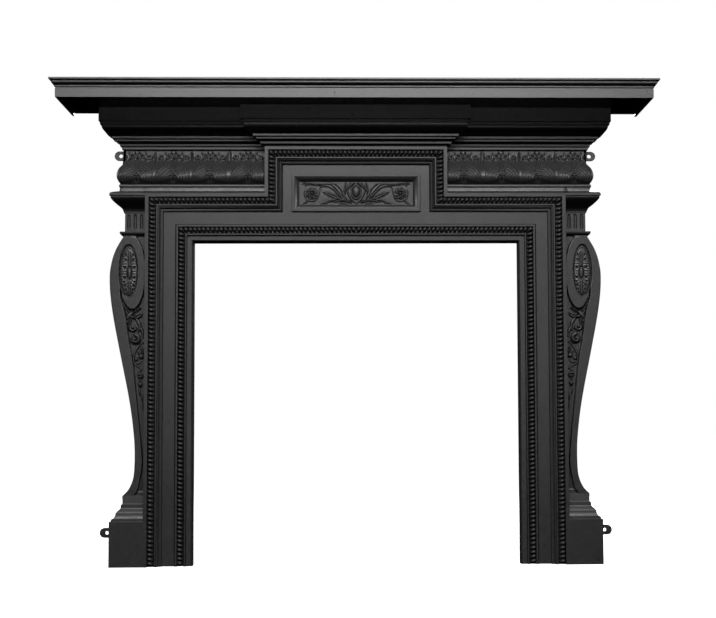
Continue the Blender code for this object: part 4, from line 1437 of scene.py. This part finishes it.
PANEL_CUTS = (
    (((98, 15.5), (82, 16.0), (65, 6.8), (51, -7.7), (40, -15.5)), 1.7, 6.0),
    (((104, -28.5), (92, -24.0), (80, -18.6)), 1.5, 5.0),
    (((80, -28.5), (64, -23.5), (51, -18.2)), 1.5, 5.0),
    (((56, -29.0), (44, -25.5), (31.5, -25.5), (17, -30.5), (0, -30.5)), 1.6, 5.0),
    (((99, 6.0), (93, -1.0), (86, -6.5), (78, -7.0)), 1.4, 4.5),
    (((153, 26.5), (134, 19.0), (122, 23.5), (113, 18.5), (106, 21.0), (92, 21.3)), 1.2, 4.0),
    (((145, -6.0), (141, -13.5), (133, -18.8), (123, -20.6), (111, -16.5)), 1.5, 5.0),
    (((37, 11.5), (41, 5.0)), 1.6, 4.5),
    (((33, 2.0), (30.5, -5.0)), 1.5, 4.5),
    (((30.5, 27.5), (26.0, 22.0)), 1.4, 4.5),
    (((17, 28.5), (12.5, 24.0)), 1.4, 4.5),
    (((48, 24.0), (52, 29.0)), 1.0, 2.5),
    (((60, 26.0), (57, 20.5)), 1.0, 2.5),
    (((70, 27.5), (67, 22.0)), 1.0, 2.5),
)


def panel_relief(across, up):
    """Leaves, stems and rosette of one half of the panel."""
    lift = np.zeros(across.shape)
    for points, width, rise, teeth in PANEL_LEAVES:
        lift = np.maximum(lift, leaf(across, up, points, width, rise * 1.25, teeth, bite=0.42))
    for points, widths, rise in PANEL_STEMS:
        lift = np.maximum(lift, stroke(across, up, points, widths, rise * 1.25))
    cuts = np.zeros(across.shape)
    for points, width, depth in PANEL_CUTS:
        cuts = np.maximum(cuts, groove(across, up, points, width, depth))
    return np.maximum(lift - cuts, rosette(across, up) * 1.15 - 0.01 - 0.4 * cuts)


def panel_middle(across, up):
    """The oval stone in its frame of bands, as what it adds over the leaves."""
    side = np.abs(across)
    bands = stroke(side, up, [(29.0, 29.0), (25.5, 12.0), (20.0, -6.0), (11.0, -20.0), (0.0, -28.0)],
                   (2.0, 2.6, 2.8, 2.6, 2.2), 7.0)
    bands = bands - groove(side, up, [(29.5, 6.0), (24.5, -6.0), (15.0, -19.5)], 1.4, 5.0)
    for line, widths, rise in (
        ([(16.0, 29.0), (20.5, 20.0), (22.5, 10.0)], (1.6, 3.0, 2.0), 5.6),
        ([(4.0, 30.0), (11.0, 26.0), (17.0, 18.0)], (2.4, 2.6, 2.0), 5.0),
    ):
        bands = np.maximum(bands, stroke(side, up, line, widths, rise))
    reach = np.hypot(side / 15.4, (up - 4.0) / 22.5)
    rim = 6.0 * np.sqrt(np.clip(1 - ((reach - 0.86) / 0.15) ** 2, 0, 1))
    base = np.where(reach < 1.0, 3.4, 0.0)
    dome = 3.0 + ball(side, up, 0.0, 4.5, 10.8, 17.8, 6.0)
    stone = np.where(np.hypot(side / 10.6, (up - 4.5) / 17.5) < 1, dome, 0.0)
    added = np.maximum(np.maximum(bands, rim), np.maximum(base, stone))
    added = added - dip(side, up, 21.2, 9.4, 2.4, 2.4, 9.0)
    under = np.where(side < 34.0, panel_relief(side, up), 0.0)
    return np.where(added > 0.05, np.maximum(added - under, 0.0), np.minimum(added, 0.0))


# Lugs for the wall screws


def lug(name, side, x, z, radius, hole_x, hole, thickness):
    """A flat ear with a rounded end and a screw hole."""
    steps = 14
    rim = []
    for k in range(steps + 1):
        turn = -math.pi / 2 + math.pi * k / steps
        rim.append(at(side * (x + radius * math.cos(turn)), 0.0022, z + radius * math.sin(turn)))
    rim.append(at(side * (x - 0.032), 0.0022, z + radius))
    rim.append(at(side * (x - 0.032), 0.0022, z - radius))
    piece = start_line(name, rim)
    bpy.ops.mesh.edge_face_add()
    extrude(0.0, 0.0022 - thickness, 0.0)
    turn_outward()
    level = (QUARTER_TURN, 0, 0)
    bpy.ops.mesh.primitive_cylinder_add(vertices=32, radius=hole, depth=0.05, rotation=level)
    tool = bpy.context.object
    tool.location = at(side * hole_x, thickness / 2, z)
    cut_with(piece, tool)
    take(piece)
    soften(0.0011, 3)
    return piece


class SURROUND_OT_lugs(bpy.types.Operator):
    """Add the four ears that take the wall screws"""

    bl_idname = "surround.lugs"
    bl_label = "Screw lugs"

    def execute(self, context):
        ears = []
        for side in (-1, 1):
            ears.append(lug("upper_ear", side, 0.6715, 1.1535, 0.0136, 0.6668, 0.0054, 0.0078))
            ears.append(lug("lower_ear", side, 0.7046, 0.0915, 0.0140, 0.6978, 0.0047, 0.0078))
        hand_over(join(ears, "screw_lugs"), smooth=35.0)
        return {"FINISHED"}


# Mantel shelf

SHELF_TALL = 0.0510
SHELF_SET_BACK = 0.0155
SHELF_RIM = 0.0080
PAN_TALL = 0.0133
HOLE_AT = (0.790, -0.022, 1.2767)


class SURROUND_OT_shelf(bpy.types.Operator):
    """Draw up the mantel shelf with its moulded edge, the shallow pan below and two fixing holes"""

    bl_idname = "surround.shelf"
    bl_label = "Mantel shelf"

    def execute(self, context):
        top = sizes().shelf_top
        front = sizes().shelf_depth
        profile = [(SHELF_TALL, SHELF_SET_BACK), (0.0282, 0.0150), (0.0274, 0.0156), (0.0270, 0.0172)]
        profile += [(0.0242, 0.0172)]
        profile += [(0.0238, 0.0142), (0.0230, 0.0134), (0.0214, 0.0134), (0.0206, 0.0142), (0.0203, 0.0160)]
        profile += [(0.0180, 0.0160), (0.0176, 0.0118), (0.0168, 0.0098), (0.0152, 0.0080), (0.0130, 0.0068)]
        profile += [(0.0106, 0.0063), (0.0098, 0.0066), (0.0095, 0.0092), (0.0055, 0.0092), (0.0051, 0.0005)]
        profile += [(0.0046, 0.0), (0.0006, 0.0), (0.0, 0.0006)]
        shift = -shelf_low[0] - front
        rings = []
        for down, set_back in profile:
            depth = front - set_back
            rings.append((top - down, shift + depth, depth))
        shelf = ring_stack("mantel_shelf_casting", rings, 0.0)
        deep = front - SHELF_SET_BACK - SHELF_RIM
        past = 0.02
        bpy.ops.mesh.primitive_cube_add(size=1.0, location=ORIGIN)
        tool = bpy.context.object
        tool.scale = (2 * (shift + deep), deep + past, PAN_TALL)
        tool.location = (0.0, -(deep - past) / 2, top - SHELF_TALL + 0.00035)
        cut_with(shelf, tool)
        for side in (-1, 1):
            bpy.ops.mesh.primitive_cylinder_add(vertices=24, radius=0.0042, depth=0.016)
            tool = bpy.context.object
            tool.location = (side * HOLE_AT[0], HOLE_AT[1], HOLE_AT[2])
            cut_with(shelf, tool)
        take(shelf)
        soften(0.0005)
        # The shelf's iron shines more strongly: a painted sheen that lightens its front above the rest of the
        # iron.
        hand_over(shelf, "mantel_shelf", painted_sheen=1.9)
        return {"FINISHED"}


# Floor, light and camera


def area_light(name, place, target, width, height, power):
    """A soft box that faces a point."""
    let_go()
    bpy.ops.object.light_add(type="AREA", location=place)
    lamp = bpy.context.object
    lamp.name = name
    lamp.data.shape = "RECTANGLE"
    lamp.data.size = width
    lamp.data.size_y = height
    lamp.data.energy = power
    lamp.rotation_euler = (Vector(target) - Vector(place)).to_track_quat("-Z", "Y").to_euler()
    return lamp


class SURROUND_OT_stage(bpy.types.Operator):
    """Lay the pale floor, set the soft lights and place the camera"""

    bl_idname = "surround.stage"
    bl_label = "Studio"

    def execute(self, context):
        studio = context.scene.surround_studio
        let_go()
        under = (0.0, 0.0, -0.0005)
        bpy.ops.mesh.primitive_circle_add(vertices=96, radius=40.0, fill_type="NGON", location=under)
        floor = context.object
        floor.name = "floor"
        pale = bpy.data.materials.new("pale_floor")
        pale.use_nodes = True
        shader = pale.node_tree.nodes["Principled BSDF"]
        white = (1.0, 1.0, 1.0, 1.0)
        fill_in(shader, {"Base Color": (*studio.floor_colour, 1.0), "Roughness": 0.9})
        fill_in(shader, {"Specular IOR Level": 0.1})
        fill_in(shader, {"Emission Color": white, "Emission Strength": 0.97})
        floor.data.materials.append(pale)
        floor.visible_diffuse = False
        floor.visible_glossy = False

        world = bpy.data.worlds.new("white_room")
        context.scene.world = world
        world.use_nodes = True
        nodes = world.node_tree.nodes
        links = world.node_tree.links
        sky = nodes["Background"]
        sky.inputs["Strength"].default_value = studio.sky_strength
        way = nodes.new("ShaderNodeTexCoord")
        parts = nodes.new("ShaderNodeSeparateXYZ")
        links.new(way.outputs["Generated"], parts.inputs["Vector"])
        ramp = nodes.new("ShaderNodeValToRGB")
        ramp.color_ramp.elements[0].position = 0.52
        ramp.color_ramp.elements[0].color = (0.0, 0.0, 0.0, 1.0)
        ramp.color_ramp.elements[1].position = 0.80
        ramp.color_ramp.elements[1].color = (studio.sky_light, studio.sky_light, studio.sky_light, 1.0)
        level = nodes.new("ShaderNodeMapRange")
        fill_in(level, {"From Min": -1.0, "From Max": 1.0})
        links.new(parts.outputs["Z"], level.inputs["Value"])
        links.new(level.outputs["Result"], ramp.inputs["Fac"])
        ray = nodes.new("ShaderNodeLightPath")
        pick = nodes.new("ShaderNodeMix")
        pick.data_type = "RGBA"
        links.new(ray.outputs["Is Camera Ray"], pick.inputs[0])
        links.new(ramp.outputs["Color"], pick.inputs[6])
        pick.inputs[7].default_value = white
        links.new(pick.outputs[2], sky.inputs["Color"])

        middle = (0.0, -0.1, 1.0)
        knee = (0.0, 0.0, 0.6)
        area_light("key", (0.0, -4.2, 2.85), middle, 3.4, 0.6, studio.key_power)
        area_light("low_front", (0.0, -4.2, 0.95), knee, 2.4, 0.5, studio.low_power)
        area_light("upper", (0.0, -1.2, 3.0), middle, 2.4, 0.6, studio.front_power)
        area_light("left_side", (-2.5, -1.7, 2.3), middle, 0.7, 0.9, studio.fill_power)
        area_light("behind", (0.6, 3.2, 2.4), knee, 2.4, 1.2, studio.back_power)
        area_light("right_side", (2.5, -1.7, 2.3), middle, 0.7, 0.9, studio.fill_power)
        let_go()

        bpy.ops.object.camera_add(location=ORIGIN)
        camera = context.object
        camera.name = "photo_camera"
        focal, image_width = 1483.45, 716
        pitch, yaw, roll = 0.06528, 0.0288, 0.0045
        right = Vector((math.cos(yaw), -math.sin(yaw), 0.0))
        forward = Vector((math.cos(pitch) * math.sin(yaw), math.cos(pitch) * math.cos(yaw), math.sin(pitch)))
        up = right.cross(forward)
        tilted_right = right * math.cos(roll) - up * math.sin(roll)
        tilted_up = right * math.sin(roll) + up * math.cos(roll)
        turn = Matrix((tilted_right, tilted_up, -forward)).transposed()
        camera.matrix_world = Matrix.Translation((-0.0052, -4.199, 0.394)) @ turn.to_4x4()
        camera.data.sensor_width = 36.0
        camera.data.sensor_fit = "HORIZONTAL"
        camera.data.lens = focal / image_width * camera.data.sensor_width
        camera.data.shift_x = -39.3 / image_width
        camera.data.shift_y = 17.0 / image_width
        camera.data.clip_end = 200.0
        context.scene.camera = camera
        context.scene.view_settings.view_transform = "Standard"
        return {"FINISHED"}


# Panel and registration

STEPS = (
    SURROUND_OT_band,
    SURROUND_OT_ropes,
    SURROUND_OT_legs,
    SURROUND_OT_consoles,
    SURROUND_OT_frieze,
    SURROUND_OT_cornice,
    SURROUND_OT_tablet,
    SURROUND_OT_lugs,
    SURROUND_OT_shelf,
    SURROUND_OT_stage,
)


class SURROUND_PT_panel(bpy.types.Panel):
    """Sizes, finish and steps of the surround"""

    bl_idname = "SURROUND_PT_panel"
    bl_label = "Fireplace surround"
    bl_space_type = "VIEW_3D"
    bl_region_type = "UI"
    bl_category = "Surround"

    def draw(self, context):
        for group in (
            context.scene.surround_sizes,
            context.scene.surround_rope,
            context.scene.surround_finish,
            context.scene.surround_studio,
        ):
            box = self.layout.box()
            for name in group.bl_rna.properties.keys():
                if name not in ("rna_type", "name"):
                    box.prop(group, name)
        for step in STEPS:
            self.layout.operator(step.bl_idname)


GROUPS = {
    "surround_sizes": SurroundSizes,
    "surround_rope": RopeSizes,
    "surround_finish": IronFinish,
    "surround_studio": StudioSettings,
}


def register():
    for kind in (*GROUPS.values(), *STEPS, SURROUND_PT_panel):
        bpy.utils.register_class(kind)
    for name, group in GROUPS.items():
        setattr(bpy.types.Scene, name, bpy.props.PointerProperty(type=group))


def unregister():
    for name in GROUPS:
        delattr(bpy.types.Scene, name)
    for kind in reversed((*GROUPS.values(), *STEPS, SURROUND_PT_panel)):
        bpy.utils.unregister_class(kind)


def plain(box):
    return [[float(v) for v in corner] for corner in box]


def main():
    register()
    for step in STEPS:
        group, name = step.bl_idname.split(".")
        getattr(getattr(bpy.ops, group), name)()
    let_go()


if __name__ == "__main__":
    main()
